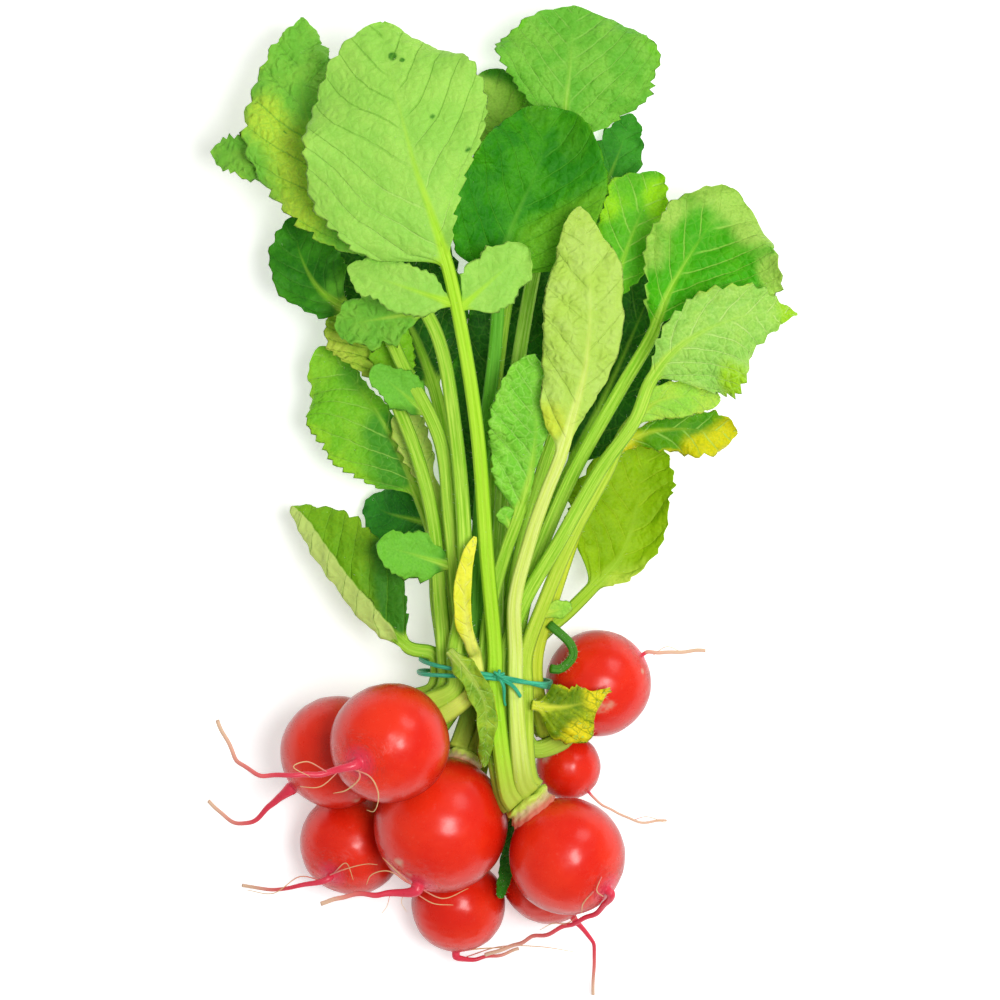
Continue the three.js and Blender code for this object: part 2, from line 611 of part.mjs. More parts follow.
// A small side blade that grows out of a leaf's stem or rib.
function lobeSolid(leaf, whole, [below, side, length, half, angle, rise]) {
  const DENSE = 160;
  const { points, total } = evenPoints(whole.curve, 0, 1, DENSE);
  const place = Math.round((whole.stemLength - below) / total * DENSE);
  const frame = framesAlong(points, UP)[place];
  const turn = THREE.MathUtils.degToRad(angle);
  const way = frame.along.clone().multiplyScalar(Math.cos(turn))
    .addScaledVector(frame.across, side * Math.sin(turn));
  const line = [0, 0.35, 0.7, 1].map((share) => frame.point.clone()
    .addScaledVector(way, length * share)
    .addScaledVector(frame.out, rise * share * share));
  const edge = [half, LOBE_BELLY, LOBE_POINTED];
  const lobe = {
    left: edge, right: edge, fold: [3, 3], bend: [0, 0],
    wave: [0, 1], teeth: Math.max(Math.round(length / 8), 2),
  };
  return solidFrom(leafSkin(line, 0, lobe, LOBE_STEM_RADIUS, LOBE_TOOTH_DEPTH).geometry);
}

function leafGeometry(leaf, points, bladeFrom, stemRadius) {
  const whole = leafSkin(points, bladeFrom, leaf, stemRadius, TOOTH_DEPTH);
  if (leaf.lobes.length === 0) return whole.geometry;
  return geometryFrom(leaf.lobes.reduce(
    (solid, lobe) => solid.add(lobeSolid(leaf, whole, lobe)),
    solidFrom(whole.geometry),
  ));
}

function slotPoint([row, place], offset) {
  return [
    TIE_CENTRE[0] + (TIE_ROW_STARTS[row] + place) * TIE_SLOT_ACROSS,
    TIE_CENTRE[1] + offset,
    TIE_CENTRE[2] + (2 - row) * TIE_SLOT_UP,
  ];
}

// Where a crown ends, the way it points, and the ring on which its stems sit.
function crownPlace(radish) {
  const way = new THREE.Vector3(...radish.crown).normalize();
  const top = fromPlan(radish.centre).addScaledVector(way, radish.radius + CROWN_LENGTH);
  const ring = radish.stems > 1 ? (STEM_RADIUS + SEAT_SPACE) / Math.sin(Math.PI / radish.stems) : 0;
  return { way, top, ring };
}

function seatPoints(radish, angle) {
  const { way, top, ring } = crownPlace(radish);
  const tie = fromPlan(TIE_CENTRE);
  const across = tie.clone().sub(top).cross(UP).normalize();
  const sideways = across.clone().addScaledVector(way, -across.dot(way)).normalize();
  const upwards = sideways.clone().cross(way);
  const turn = THREE.MathUtils.degToRad(angle);
  const seat = top.clone().addScaledVector(way, GAP)
    .addScaledVector(sideways, Math.cos(turn) * ring)
    .addScaledVector(upwards, Math.sin(turn) * ring);
  return [0, CROWN_EXIT].map((height) => seat.clone().addScaledVector(way, height));
}

function leafMesh(leaf) {
  const radish = RADISHES.find(({ name }) => name === leaf.plant);
  const via = (leaf.via ?? []).map(fromPlan);
  const points = [
    ...seatPoints(radish, leaf.seat),
    ...via,
    fromPlan(slotPoint(leaf.slot, -TIE_STRAIGHT_BELOW)),
    fromPlan(slotPoint(leaf.slot, TIE_STRAIGHT_ABOVE)),
    ...leaf.path.map(fromPlan),
  ];
  const shaped = { ...leaf, radiusAtBlade: STEM_RADIUS_AT_BLADE };
  const geometry = leafGeometry(shaped, points, leaf.bladeFrom + via.length + 4, STEM_RADIUS);
  return meshOf(leaf.name, geometry, COLOURS[leaf.tint], 0.55);
}

function looseLeafMesh(leaf) {
  const geometry = leafGeometry(leaf, leaf.path.map(fromPlan), leaf.bladeFrom, leaf.radius);
  return meshOf(leaf.name, geometry, COLOURS[leaf.tint], 0.55);
}

// The round root, drawn out to a point where the thin root leaves it.
function globeGeometry(radish, swell) {
  const centre = fromPlan(radish.centre);
  const root = fromPlan(radish.tail[0]).sub(centre).normalize();
  const globe = new THREE.SphereGeometry(radish.radius + swell, 15, 10);
  globe.applyQuaternion(new THREE.Quaternion().setFromUnitVectors(new THREE.Vector3(0, 1, 0), root));
  const places = globe.attributes.position;
  for (let i = 0; i < places.count; i += 1) {
    const place = new THREE.Vector3().fromBufferAttribute(places, i);
    const away = place.angleTo(root);
    const stretch = 1 + ROOT_POINT * Math.exp(-((away / ROOT_POINT_SPREAD) ** 2));
    place.multiplyScalar(stretch).add(centre);
    places.setXYZ(i, place.x, place.y, place.z);
  }
  return globe;
}

const ROUND = {
  half: [0, 0], tooth: 0, fold: [0, 0], bend: [0, 0], curl: [0, 0], wave: 0, rib: 0, flat: 0,
  widening: 1,
};

function tailGeometry(radish) {
  const centre = fromPlan(radish.centre);
  const outside = radish.tail.map(fromPlan);
  const root = outside[0].clone().sub(centre).normalize();
  const inside = centre.clone().addScaledVector(root, radish.radius * 0.8);
  const leave = centre.clone().addScaledVector(root, radish.radius * (1 + ROOT_POINT) + 0.5);
  const points = [inside, leave, ...outside.slice(1)];
  const curve = new THREE.CatmullRomCurve3(points, false, 'centripetal');
  const ROWS = 9;
  const line = evenPoints(curve, 0, 1, ROWS).points;
  const rings = framesAlong(line, UP).map((frame, i) => {
    const share = i / ROWS;
    const flare = TAIL_FLARE * (1 - share) ** TAIL_FLARE_POWER;
    const radius = TAIL_TIP_RADIUS + (radish.thick - TAIL_TIP_RADIUS) * (1 - share) + flare;
    return leafRing(frame, 2, { ...ROUND, radius });
  });
  return skin(rings);
}

function aboveTable(solid) {
  const WIDE = 600;
  const below = new THREE.BoxGeometry(WIDE, WIDE, WIDE);
  below.translate(0, 0, -WIDE / 2);
  return solid.subtract(solidFrom(below));
}

function radishMesh(radish) {
  const solid = solidFrom(globeGeometry(radish, 0)).add(solidFrom(tailGeometry(radish)));
  return meshOf(`radish_${radish.name}`, geometryFrom(aboveTable(solid)), COLOURS.radish, 0.3);
}

// The pale collar between a root and its leaf stems.
function crownMesh(radish) {
  const { way, top, ring } = crownPlace(radish);
  const width = ring + STEM_RADIUS;
  const length = CROWN_LENGTH + CROWN_SINK;
  const collar = new THREE.CylinderGeometry(width, width * 1.15, length, 10);
  collar.applyQuaternion(new THREE.Quaternion().setFromUnitVectors(new THREE.Vector3(0, 1, 0), way));
  const middle = top.clone().addScaledVector(way, -length / 2);
  collar.translate(middle.x, middle.y, middle.z);
  const solid = solidFrom(collar).subtract(solidFrom(globeGeometry(radish, GAP)));
  return meshOf(`crown_${radish.name}`, geometryFrom(solid), COLOURS.crown, 0.6);
}

// Two turns of thin band round the stems, crossing at the knot, with its two ends.
function tieMesh() {
  const centre = fromPlan(TIE_CENTRE);
  const turnSolid = (tilt, shift) => {
    const shape = new THREE.Shape();
    const [wide, high] = [TIE_HALF_WIDTH + TIE_THICKNESS, TIE_HALF_HEIGHT + TIE_THICKNESS];
    shape.absellipse(0, 0, wide, high, 0, 2 * Math.PI);
    const hole = new THREE.Path();
    hole.absellipse(0, 0, TIE_HALF_WIDTH, TIE_HALF_HEIGHT, 0, 2 * Math.PI, true);
    shape.holes.push(hole);
    const settings = { depth: TIE_BAND, bevelEnabled: false, curveSegments: 12 };
    const band = new THREE.ExtrudeGeometry(shape, settings);
    band.translate(0, 0, -TIE_BAND / 2);
    band.rotateX(Math.PI / 2);
    band.rotateZ(tilt);
    band.translate(centre.x, centre.y + shift, centre.z);
    return solidFrom(band);
  };
  const top = centre.z + TIE_HALF_HEIGHT + TIE_THICKNESS;
  const knotPlace = new THREE.Vector3(centre.x + TIE_KNOT_ACROSS, centre.y + 0.5, top - 0.4);
  const knot = new THREE.SphereGeometry(2, 8, 6);
  knot.translate(knotPlace.x, knotPlace.y, knotPlace.z);
  const endSolid = (turn) => {
    const end = new THREE.BoxGeometry(TIE_END_LENGTH, TIE_BAND, TIE_THICKNESS);
    end.translate(TIE_END_LENGTH / 2, 0, 0);
    end.rotateY(0.12);
    end.rotateZ(turn);
    end.translate(knotPlace.x, knotPlace.y, knotPlace.z + 0.4);
    return solidFrom(end);
  };
  const solid = turnSolid(TIE_LEAN + TIE_TILT, -0.6)
    .add(turnSolid(TIE_LEAN - TIE_TILT, 0.6))
    .add(solidFrom(knot))
    .add(endSolid(-0.75))
    .add(endSolid(-1.3));
  return meshOf('tie', geometryFrom(solid), COLOURS.tie, 0.4);
}

const bunch = new THREE.Group();
for (const radish of RADISHES) bunch.add(radishMesh(radish), crownMesh(radish));
for (const leaf of LEAVES) bunch.add(leafMesh(leaf));
for (const leaf of LOOSE_LEAVES) bunch.add(looseLeafMesh(leaf));
bunch.add(tieMesh());

const box = new THREE.Box3().setFromObject(bunch);
bunch.position.set(-(box.min.x + box.max.x) / 2, -(box.min.y + box.max.y) / 2, 0);
bunch.updateMatrixWorld(true);

export default bunch;
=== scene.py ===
"""A tied bunch of nine red radishes with its leaves on, lying on a pale floor.

Places are given in millimetres on a plan: x to the right, y towards the leaf tips and z up.
The plan is drawn as seen from EYE_HEIGHT, so what lies higher is a little nearer to its middle.
Meshes are in metres in the same frame as the solids that they replace.
"""

import math

import bpy
import numpy as np
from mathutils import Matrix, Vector


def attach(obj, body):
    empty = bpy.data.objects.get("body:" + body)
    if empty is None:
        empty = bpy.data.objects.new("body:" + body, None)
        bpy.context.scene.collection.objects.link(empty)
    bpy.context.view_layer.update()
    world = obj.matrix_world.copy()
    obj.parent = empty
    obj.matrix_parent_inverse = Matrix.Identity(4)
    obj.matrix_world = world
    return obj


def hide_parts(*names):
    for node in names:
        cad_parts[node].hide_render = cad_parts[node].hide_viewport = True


bl_info = {
    "name": "Bunch of radishes",
    "version": (1, 0, 0),
    "blender": (4, 5, 0),
    "location": "3D View > Sidebar > Radishes",
    "description": "Roots, crowns, leaves and tie of a bunch of radishes",
    "category": "Object",
}

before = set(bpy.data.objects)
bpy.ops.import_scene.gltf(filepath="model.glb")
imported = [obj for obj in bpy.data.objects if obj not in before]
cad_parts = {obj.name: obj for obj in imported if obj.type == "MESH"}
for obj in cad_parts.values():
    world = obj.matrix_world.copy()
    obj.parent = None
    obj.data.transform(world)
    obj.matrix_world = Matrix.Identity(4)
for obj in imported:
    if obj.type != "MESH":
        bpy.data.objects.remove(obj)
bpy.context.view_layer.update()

MM = 0.001
UP = np.array((0.0, 0.0, 1.0))
EYE_HEIGHT = 1500
PLAN_SHIFT = np.array((-0.4973, 1.2629, 0.0))

# Sizes that the leaves, crowns and tie share with their solids, in millimetres
STEM_RADIUS = 1.95
STEM_RADIUS_AT_BLADE = 1.6
STEM_WIDENING = 1.2
RIB_RADIUS_AT_TIP = 0.5
BLADE_GROWTH = 8
LOBE_STEM_RADIUS = 1.1
LOBE_FOLD = 3
LOBE_BELLY = 0.5
LOBE_POINTED = 0.5
CURL_SPAN = 0.3
TIE_CENTRE = (-4.5, -52.5, 30)
TIE_SLOT_ACROSS = 6.1
TIE_SLOT_UP = 5
TIE_ROW_STARTS = (-1.5, -2, -2.5, -2, -1.5)
TIE_STRAIGHT_BELOW = 4
TIE_STRAIGHT_ABOVE = 6
TIE_HALF_WIDTH = 19.2
TIE_HALF_HEIGHT = 15
TIE_THICKNESS = 1
TIE_BAND = 1.2
TIE_LEAN = -0.14
TIE_TILT = 0.06
TIE_KNOT = (4, 0.5, -0.4)
TIE_END_LENGTH = 9
CROWN_LENGTH = 4
CROWN_SINK = 1.5
CROWN_EXIT = 3
SEAT_SPACE = 0.65
GAP = 0.3
TABLE_GAP = 0.3

# The round roots' forms: shares of the radius, angles in radians, and heights in millimetres
ROOT_POINT, ROOT_POINT_SPREAD = 0.06, 0.6
TAIL_FLARE, TAIL_FLARE_LENGTH = 0.77, 0.2
TAIL_ROW_CROWDING = 1.35
TAIL_TAPER = 2.2
TAIL_WANDER = 0.45
MELT = 0.12
DENTS, PIMPLES = 0.008, 0.05
SHOULDER, SHOULDER_SPREAD = 0.05, 0.42
CROWN_TINT_SPREAD = 0.36

# How finely the surfaces are drawn: steps in millimetres, and numbers of rows and sides
BLADE_STEP = 0.75
LOBE_COLUMN = 0.7
STEM_STEP = 1.3
CURVE_SAMPLES = 500
FOLD_STEPS = 300
GLOBE_ROWS, GLOBE_SIDES = 78, 64
TAIL_ROWS = 74
CROWN_ROWS, CROWN_SIDES = 34, 72
THREAD_STEP, THREAD_SIDES = 0.5, 7
BAND_ROWS, BAND_SIDES = 260, 20

# The roots, as in their solids: middle and radius of the globe, the way to its crown, how many stems
# leave there, and the thin root's radius where it leaves and the plan places that it passes
RADISHES = (
    dict(name="upper", centre=(-33, -72.9, 62), radius=17.3, crown=(0.42, 0.3, -0.86), stems=4,
         thick=0.95, tail=((-42, -78.6, 75), (-53.4, -81.9, 78), (-62.4, -82.2, 79), (-71.4, -82.5, 78))),
    dict(name="left", centre=(-48.9, -75.6, 32), radius=16.6, crown=(0.85, 0.52, 0), stems=3,
         thick=1.1, tail=((-62.1, -86.1, 32), (-69, -92.1, 30), (-75.3, -96.9, 28), (-81, -96, 27))),
    dict(name="front", centre=(-17.7, -97.5, 38), radius=19.6, crown=(0.31, 0.84, -0.45), stems=3,
         thick=1.1, tail=((-24, -114.3, 45), (-31.2, -118.2, 45), (-41.1, -117.9, 44), (-54, -121.5, 42))),
    dict(name="lower_left", centre=(-44.4, -102.9, 15), radius=15.4, crown=(0.5, 0.8, -0.2), stems=2,
         thick=0.65, tail=((-50.7, -112.5, 26), (-58.5, -115.5, 27), (-65.4, -117, 25), (-72, -116.4, 22))),
    dict(name="bottom", centre=(-12.6, -121.5, 13.6), radius=14, crown=(0, 1, 0.05), stems=2,
         thick=0.65, tail=((-13.2, -135.3, 13), (-8.4, -137.7, 11.5), (-3, -136.8, 10), (5.4, -134.4, 8))),
    dict(name="right", centre=(20.1, -106.8, 46), radius=16.9, crown=(-0.6, 0.8, 0.02), stems=5, thick=0.7,
         tail=((32.1, -117, 54), (30.9, -122.4, 49), (22.5, -126.9, 43), (8.1, -132, 33),
               (-4.2, -136.5, 24))),
    dict(name="right_under", centre=(14.7, -112.2, 14.2), radius=14.6, crown=(-0.4, 0.9, 0.1), stems=2,
         thick=0.55, tail=((23.1, -127.2, 12), (26.7, -131.1, 10), (27.3, -137.7, 7), (27.6, -148.5, 3))),
    dict(name="far_right", centre=(29.4, -54.9, 15.3), radius=15.7, crown=(-0.55, -0.62, 0.45), stems=2,
         thick=0.45, tail=((42.6, -46.5, 17), (48, -45.9, 16.5), (54.6, -45.3, 15.5), (61.2, -45, 14))),
    dict(name="small", centre=(20.4, -80.1, 9.4), radius=9.7, crown=(-0.5, 0.8, 0.35), stems=1,
         thick=0.45, tail=((27.6, -88.8, 10), (32, -92.4, 9), (38, -95.4, 7.5), (44, -96.3, 6))),
)
# The leaves, as in their solids. A stem starts on the crown of `plant`, at the angle `seat` round it,
# passes the tie at `slot` (row from the top, place from the left) and then `path` to the tip.
#   blade_from   the point of path where the blade starts
#   left, right  the blade on each side of the rib: its widest half-width, how far from its base to its
#                tip that lies, and how pointed its ends are (0 is square, 1 is a plain arch)
#   fold, bend   degrees that each half is folded up along the rib, and bends on its way to the edge
#   curl         for a half that turns over: how far out of the rib its bend begins
#   wave         height of the edge's waves, and how many
#   lobes        small blades on the stem: distance below the blade, side, length, widest half, angle
#                from the stem, rise at the tip
LEAVES = (
    dict(name="leaf_front", plant="right", seat=126, slot=(0, 2), tint="leaf_green",
         path=((-3.9, -18, 47), (-6.6, 18, 54), (-10.5, 45, 59), (-15.6, 69.6, 61.5), (-21.3, 87.9, 63),
               (-25.2, 99, 62.5), (-30, 117, 60), (-33.6, 131.1, 56), (-35.1, 143.1, 51)),
         left=(32, 0.45, 0.6), right=(26, 0.65, 0.8),
         blade_from=3, fold=(4, 4), bend=(-14, -12), wave=(2, 3), teeth=9,
         lobes=((13, 1, 27, 8.5, 60, -2), (11, -1, 33, 7.5, 60, -7))),
    dict(name="leaf_back_left", plant="upper", seat=135, slot=(0, 0), tint="leaf_yellow",
         path=((-11.4, -33, 44), (-10.5, -18, 46), (-13.5, 21, 49), (-19.5, 51, 49), (-33.6, 71.4, 46),
               (-44.4, 85.5, 45), (-52.5, 100.5, 42), (-58.5, 117, 38), (-60, 132, 33), (-59.4, 144.6, 27)),
         left=(20, 0.5, 0.9), right=(15, 0.55, 0.6),
         blade_from=4, fold=(6, 0), bend=(-10, -10), wave=(2, 3), teeth=8,
         lobes=((-34, -1, 35, 7.5, 56, -6), (19, -1, 27, 8.5, 66, -5))),
    dict(name="leaf_left_dark", plant="upper", seat=305, slot=(1, 1), tint="leaf_dark",
         path=((-12.6, -30, 38), (-15, -6, 42), (-18, 18, 44), (-28.5, 39, 42), (-36, 53, 37),
               (-45, 57, 31), (-54, 63, 26), (-60, 74, 22), (-61.5, 85, 19)),
         left=(11, 0.5, 0.6), right=(12, 0.45, 0.7),
         blade_from=5, fold=(12, 12), bend=(10, 10), wave=(2, 3), teeth=5,
         lobes=((89, -1, 24, 7.5, 66, 5), (44, -1, 22, 6, 24, 2))),
    dict(name="leaf_left_serrated", plant="left", seat=270, slot=(3, 0), tint="leaf_green",
         path=((-18.9, -30, 25.5), (-19.8, -12, 26.5), (-24, 0.6, 27), (-27.9, 10.2, 27), (-33.3, 20.1, 26.5),
               (-39, 29.1, 26), (-45.9, 38.1, 24), (-54.9, 45.3, 21)),
         left=(20, 0.55, 0.5), right=(4.5, 0.5, 0.3),
         blade_from=2, fold=(3, -20), bend=(-12, -30), wave=(1.3, 2.5), teeth=9,
         lobes=()),
    dict(name="leaf_curled_pale", plant="right", seat=54, slot=(0, 3), tint="leaf_pale",
         path=((4.5, -30, 45), (9, -12, 50), (13.8, 2, 54), (18, 12.6, 57), (21.9, 25.5, 59),
               (25.2, 37.5, 60.5), (26.7, 49.5, 62), (27, 63, 62), (26.1, 75.6, 60), (23.7, 87.9, 56)),
         left=(14, 0.5, 0.6), right=(10, 0.6, 0.8),
         blade_from=3, fold=(6, 6), bend=(-26, -34), wave=(1.6, 3), teeth=6,
         lobes=()),
    dict(name="leaf_top_fan", plant="front", seat=30, slot=(2, 3), tint="leaf_green",
         path=((-0.6, -18, 28), (2.4, 18, 27), (7.5, 54, 27), (13.5, 84, 29), (18.3, 105, 31),
               (19.5, 115.5, 32.5), (20.7, 127.5, 32.5), (21.6, 138, 30), (22.2, 148.2, 26)),
         left=(22, 0.65, 0.8), right=(27, 0.6, 0.6),
         blade_from=4, fold=(4, 4), bend=(-8, -8), wave=(2, 3), teeth=9,
         lobes=()),
    dict(name="leaf_top_behind", plant="front", seat=270, slot=(3, 2), tint="leaf_dark",
         path=((-3.6, -12, 23), (-2.4, 24, 19), (2, 60, 16), (7.5, 85.5, 15), (4.5, 99, 14),
               (0.9, 112.5, 12.5), (-3.6, 129, 8)),
         left=(11, 0.5, 0.4), right=(14, 0.6, 0.6),
         blade_from=3, fold=(4, 4), bend=(6, 6), wave=(1.3, 2.5), teeth=5,
         lobes=()),
    dict(name="leaf_cupped", plant="front", seat=150, slot=(2, 2), tint="leaf_dark",
         path=((-6.6, -18, 33), (-4.5, 18, 38), (-1.5, 45, 41), (0, 64.5, 42.5), (1.5, 75, 43.5),
               (5.4, 86.4, 44.5), (10.5, 97.5, 45), (13.8, 108, 44), (14.7, 118.2, 42)),
         left=(20, 0.5, 0.4), right=(24, 0.45, 0.5),
         blade_from=3, fold=(6, 6), bend=(14, 14), wave=(1.8, 2.5), teeth=7,
         lobes=()),
    dict(name="leaf_top_right_dark", plant="bottom", seat=0, slot=(4, 2), tint="leaf_dark",
         path=((1.5, -18, 18), (9, 18, 15), (18, 51, 12.5), (25.5, 78, 11), (30.6, 91.5, 9.5),
               (35.4, 103.5, 8), (39.6, 115.8, 5)),
         left=(8, 0.55, 0.5), right=(8, 0.6, 0.6),
         blade_from=3, fold=(5, 5), bend=(6, 6), wave=(1.2, 2.5), teeth=4,
         lobes=()),
    dict(name="leaf_right_upper", plant="right_under", seat=135, slot=(3, 3), tint="leaf_green",
         path=((4.5, -24, 26), (12, 6, 28), (22.5, 36, 30), (31.8, 57.6, 31), (36.3, 70.5, 31),
               (41.4, 84, 30), (47.1, 98.4, 26)),
         left=(13, 0.7, 0.7), right=(8, 0.55, 0.4),
         blade_from=3, fold=(6, 6), bend=(4, 10), wave=(1.8, 2.5), teeth=6,
         lobes=()),
    dict(name="leaf_right_ruffled", plant="far_right", seat=90, slot=(2, 4), tint="leaf_pale",
         via=((9.6, -74.4, 31),),
         path=((9, -24, 34), (21, 6, 38), (36, 33, 42), (45.6, 49.5, 43.5), (51, 63, 45),
               (59.1, 76.8, 45), (66.6, 87, 44), (71.4, 92.4, 42)),
         left=(14, 0.6, 0.7), right=(28, 0.65, 0.9),
         blade_from=3, fold=(6, 10), bend=(10, 20), wave=(2.4, 3), teeth=7,
         lobes=()),
    dict(name="leaf_right_tip", plant="right", seat=270, slot=(1, 3), tint="leaf_pale",
         path=((7.5, -30, 41), (18, -12, 46), (30, 9, 51), (40.5, 24, 54.5), (45, 35.4, 56),
               (51, 43.5, 58), (60, 50.1, 59), (73.5, 55.2, 57.5), (89.1, 55.8, 52)),
         left=(11, 0.55, 0.8), right=(21, 0.4, 1.4),
         blade_from=4, fold=(4, 4), bend=(-6, -12), wave=(1.8, 2.5), teeth=7,
         lobes=()),
    dict(name="leaf_right_lobe", plant="right", seat=342, slot=(1, 4), tint="leaf_pale",
         path=((13.5, -30, 39), (22.5, -9, 43), (31.5, 7.5, 46), (38.5, 22, 48), (47, 29.5, 49.5),
               (57, 31.2, 49), (66, 30.3, 46)),
         left=(5, 0.55, 0.6), right=(6.5, 0.55, 0.5),
         blade_from=3, fold=(4, 4), bend=(-8, -8), wave=(1, 2), teeth=4,
         lobes=((62, 1, 10, 3.5, 50, 1),)),
    dict(name="leaf_right_yellow", plant="far_right", seat=270, slot=(2, 5), tint="leaf_yellow",
         via=((13.5, -68.4, 30),),
         path=((15.6, -30, 31), (25, -3, 33), (31, 10.5, 34), (42, 19.5, 35.5), (54, 21.3, 36),
               (63.6, 20.4, 35), (71.1, 20.4, 33)),
         left=(7, 0.75, 0.8), right=(8, 0.7, 0.6),
         blade_from=2, fold=(4, 4), bend=(6, -10), wave=(1.8, 3), teeth=5,
         lobes=()),
    dict(name="leaf_right_hanging", plant="small", seat=0, slot=(3, 4), tint="leaf_yellow",
         path=((13.5, -39.5, 24.5), (20.5, -33.5, 23.5), (27, -27, 22.5), (35.4, -18, 21), (40.2, -6, 19),
               (42, 5.4, 17), (46.5, 17.4, 14)),
         left=(21, 0.45, 0.5), right=(12, 0.6, 0.5),
         blade_from=2, fold=(4, 4), bend=(6, 40), wave=(1, 2), teeth=6,
         lobes=()),
    dict(name="leaf_centre_crinkled", plant="right", seat=198, slot=(1, 2), tint="leaf_green",
         path=((-2.4, -30, 39), (1.5, -16, 43.5), (5.1, -6, 47), (8.7, 6, 50), (10.5, 18, 52),
               (10.8, 30, 53), (10.2, 43.8, 52)),
         left=(14, 0.55, 0.5), right=(6, 0.75, 1),
         blade_from=2, fold=(4, 4), bend=(0, -8), wave=(1.4, 3), teeth=6,
         lobes=((4, -1, 8, 4, 40, 1),)),
    dict(name="leaf_lower_left", plant="left", seat=165, slot=(2, 0), tint="leaf_green",
         path=((-27, -44.5, 31), (-33, -39.5, 30), (-40.5, -32, 28.5), (-48, -23, 26.5), (-54.5, -13, 23),
               (-62.5, -2, 18)),
         left=(10, 0.45, 0.4), right=(17, 0.5, 0.7),
         blade_from=0, fold=(0, 4), bend=(160, 10), curl=(0.2, 0), wave=(1, 2), teeth=7,
         lobes=()),
    dict(name="leaf_left_wilted", plant="upper", seat=225, slot=(1, 0), tint="leaf_yellow",
         path=((-18, -30, 36), (-20.1, -6, 38), (-25.5, 15, 38), (-33.6, 34.5, 35), (-39, 45, 31.5),
               (-44.4, 52.5, 28), (-48.5, 57, 24)),
         left=(10.5, 0.6, 0.5), right=(6.5, 0.35, 0.6),
         blade_from=3, fold=(6, 6), bend=(14, 6), wave=(1, 2), teeth=4,
         lobes=((6, 1, 26, 6.5, 20, 1),)),
    dict(name="leaf_left_pale", plant="left", seat=30, slot=(2, 1), tint="leaf_pale",
         via=((-19.5, -62.7, 29.6),),
         path=((-15.6, -30, 31), (-17.4, -12, 32.5), (-18.6, 0.6, 33), (-22.5, 10.5, 32.8), (-27, 21, 32),
               (-30, 30, 30.5)),
         left=(6, 0.55, 0.5), right=(5.5, 0.7, 0.8),
         blade_from=2, fold=(6, 6), bend=(10, 10), wave=(1, 2), teeth=4,
         lobes=()),
    dict(name="leaf_left_under", plant="lower_left", seat=45, slot=(3, 1), tint="leaf_dark",
         path=((-12, -30, 23), (-14.5, -18, 20.5), (-16.5, -9, 18), (-25.5, -6, 13), (-34.5, -3.6, 8),
               (-40.2, 0, 5)),
         left=(11.5, 0.4, 0.6), right=(11, 0.6, 0.7),
         blade_from=2, fold=(4, 4), bend=(4, 4), wave=(1, 2), teeth=4,
         lobes=()),
    dict(name="leaf_small_yellow", plant="upper", seat=38, slot=(0, 1), tint="leaf_yellow",
         path=((-8.5, -44, 45.6), (-10, -37, 49.5), (-10.6, -27, 52), (-9.6, -18, 53), (-7.5, -11, 52)),
         left=(3.5, 0.35, 0.5), right=(2, 0.5, 0.3),
         blade_from=0, fold=(8, 8), bend=(10, 10), wave=(0, 1), teeth=2,
         lobes=()),
    dict(name="leaf_under_left", plant="lower_left", seat=225, slot=(4, 0), tint="leaf_dark",
         path=((-13.5, -27, 17), (-15, 6, 11), (-19.5, 33, 7), (-31, 60, 3.4), (-47, 84, 0.7)),
         left=(20, 0.5, 0.6), right=(22, 0.55, 0.6),
         blade_from=2, fold=(2, 2), bend=(0, 0), wave=(0.4, 2), teeth=7,
         lobes=()),
    dict(name="leaf_under_centre", plant="bottom", seat=180, slot=(4, 1), tint="leaf_dark",
         path=((-6, -24, 15), (-5, -12, 12), (-4, 9, 8), (-2, 30, 5), (3, 55, 2.5),
               (8, 81, 0.7)),
         left=(14, 0.55, 0.6), right=(19, 0.5, 0.6),
         blade_from=1, fold=(2, 2), bend=(0, 0), wave=(0.3, 2), teeth=6,
         lobes=()),
    dict(name="leaf_under_right", plant="right_under", seat=315, slot=(4, 3), tint="leaf_dark",
         path=((9, -21, 18), (21, 9, 9), (31, 30, 5), (43, 57, 2.6), (52, 78, 0.7)),
         left=(10, 0.55, 0.6), right=(17, 0.55, 0.6),
         blade_from=1, fold=(2, 2), bend=(0, 0), wave=(0.3, 2), teeth=6,
         lobes=()),
)
LOOSE_LEAVES = (
    dict(name="withered_leaf", radius=1.3, tint="leaf_yellow",
         path=((9.5, -61.5, 43), (14, -62.2, 41.5), (20, -62, 39.5), (26.5, -60.3, 37), (33, -57, 35)),
         left=(6.5, 0.35, 1), right=(12, 0.45, 1.4),
         blade_from=0, fold=(6, 6), bend=(-16, -20), wave=(1.2, 2), teeth=4,
         lobes=()),
    dict(name="hanging_shred", radius=1.2, tint="leaf_yellow", path=((-15, -45.5, 45), (-11.5, -49.5, 48.5),
                                                                     (-7.8, -54.5, 49.2), (-4.5, -61, 48),
                                                                     (-4.2, -71, 46.5), (-4.8, -80, 44)),
         left=(3.5, 0.4, 0.4), right=(4, 0.35, 0.6), blade_from=0, fold=(8, 8), bend=(14, 14),
         wave=(0.4, 2), teeth=2, lobes=()),
    dict(name="narrow_leaf", radius=1, tint="leaf_dark",
         path=((5.1, -93, 37), (3.9, -99, 32), (2.4, -108, 28), (0, -119.4, 26)),
         left=(2.5, 0.5, 0.3), right=(2.5, 0.5, 0.3),
         blade_from=0, fold=(8, 8), bend=(0, 0), wave=(0.8, 3), teeth=4,
         lobes=()),
    dict(name="bent_stalk", radius=1.1, tint="leaf_dark", path=((15.3, -50.6, 36), (18, -50.7, 34.5),
                                                                (21.9, -46.8, 32.5), (21.3, -43.5, 32),
                                                                (14.7, -37.2, 33.5)), left=(1, 0.5, 0),
         right=(1, 0.5, 0), blade_from=4, fold=(0, 0), bend=(0, 0), wave=(0, 1), teeth=0, lobes=()),
)


# Curves

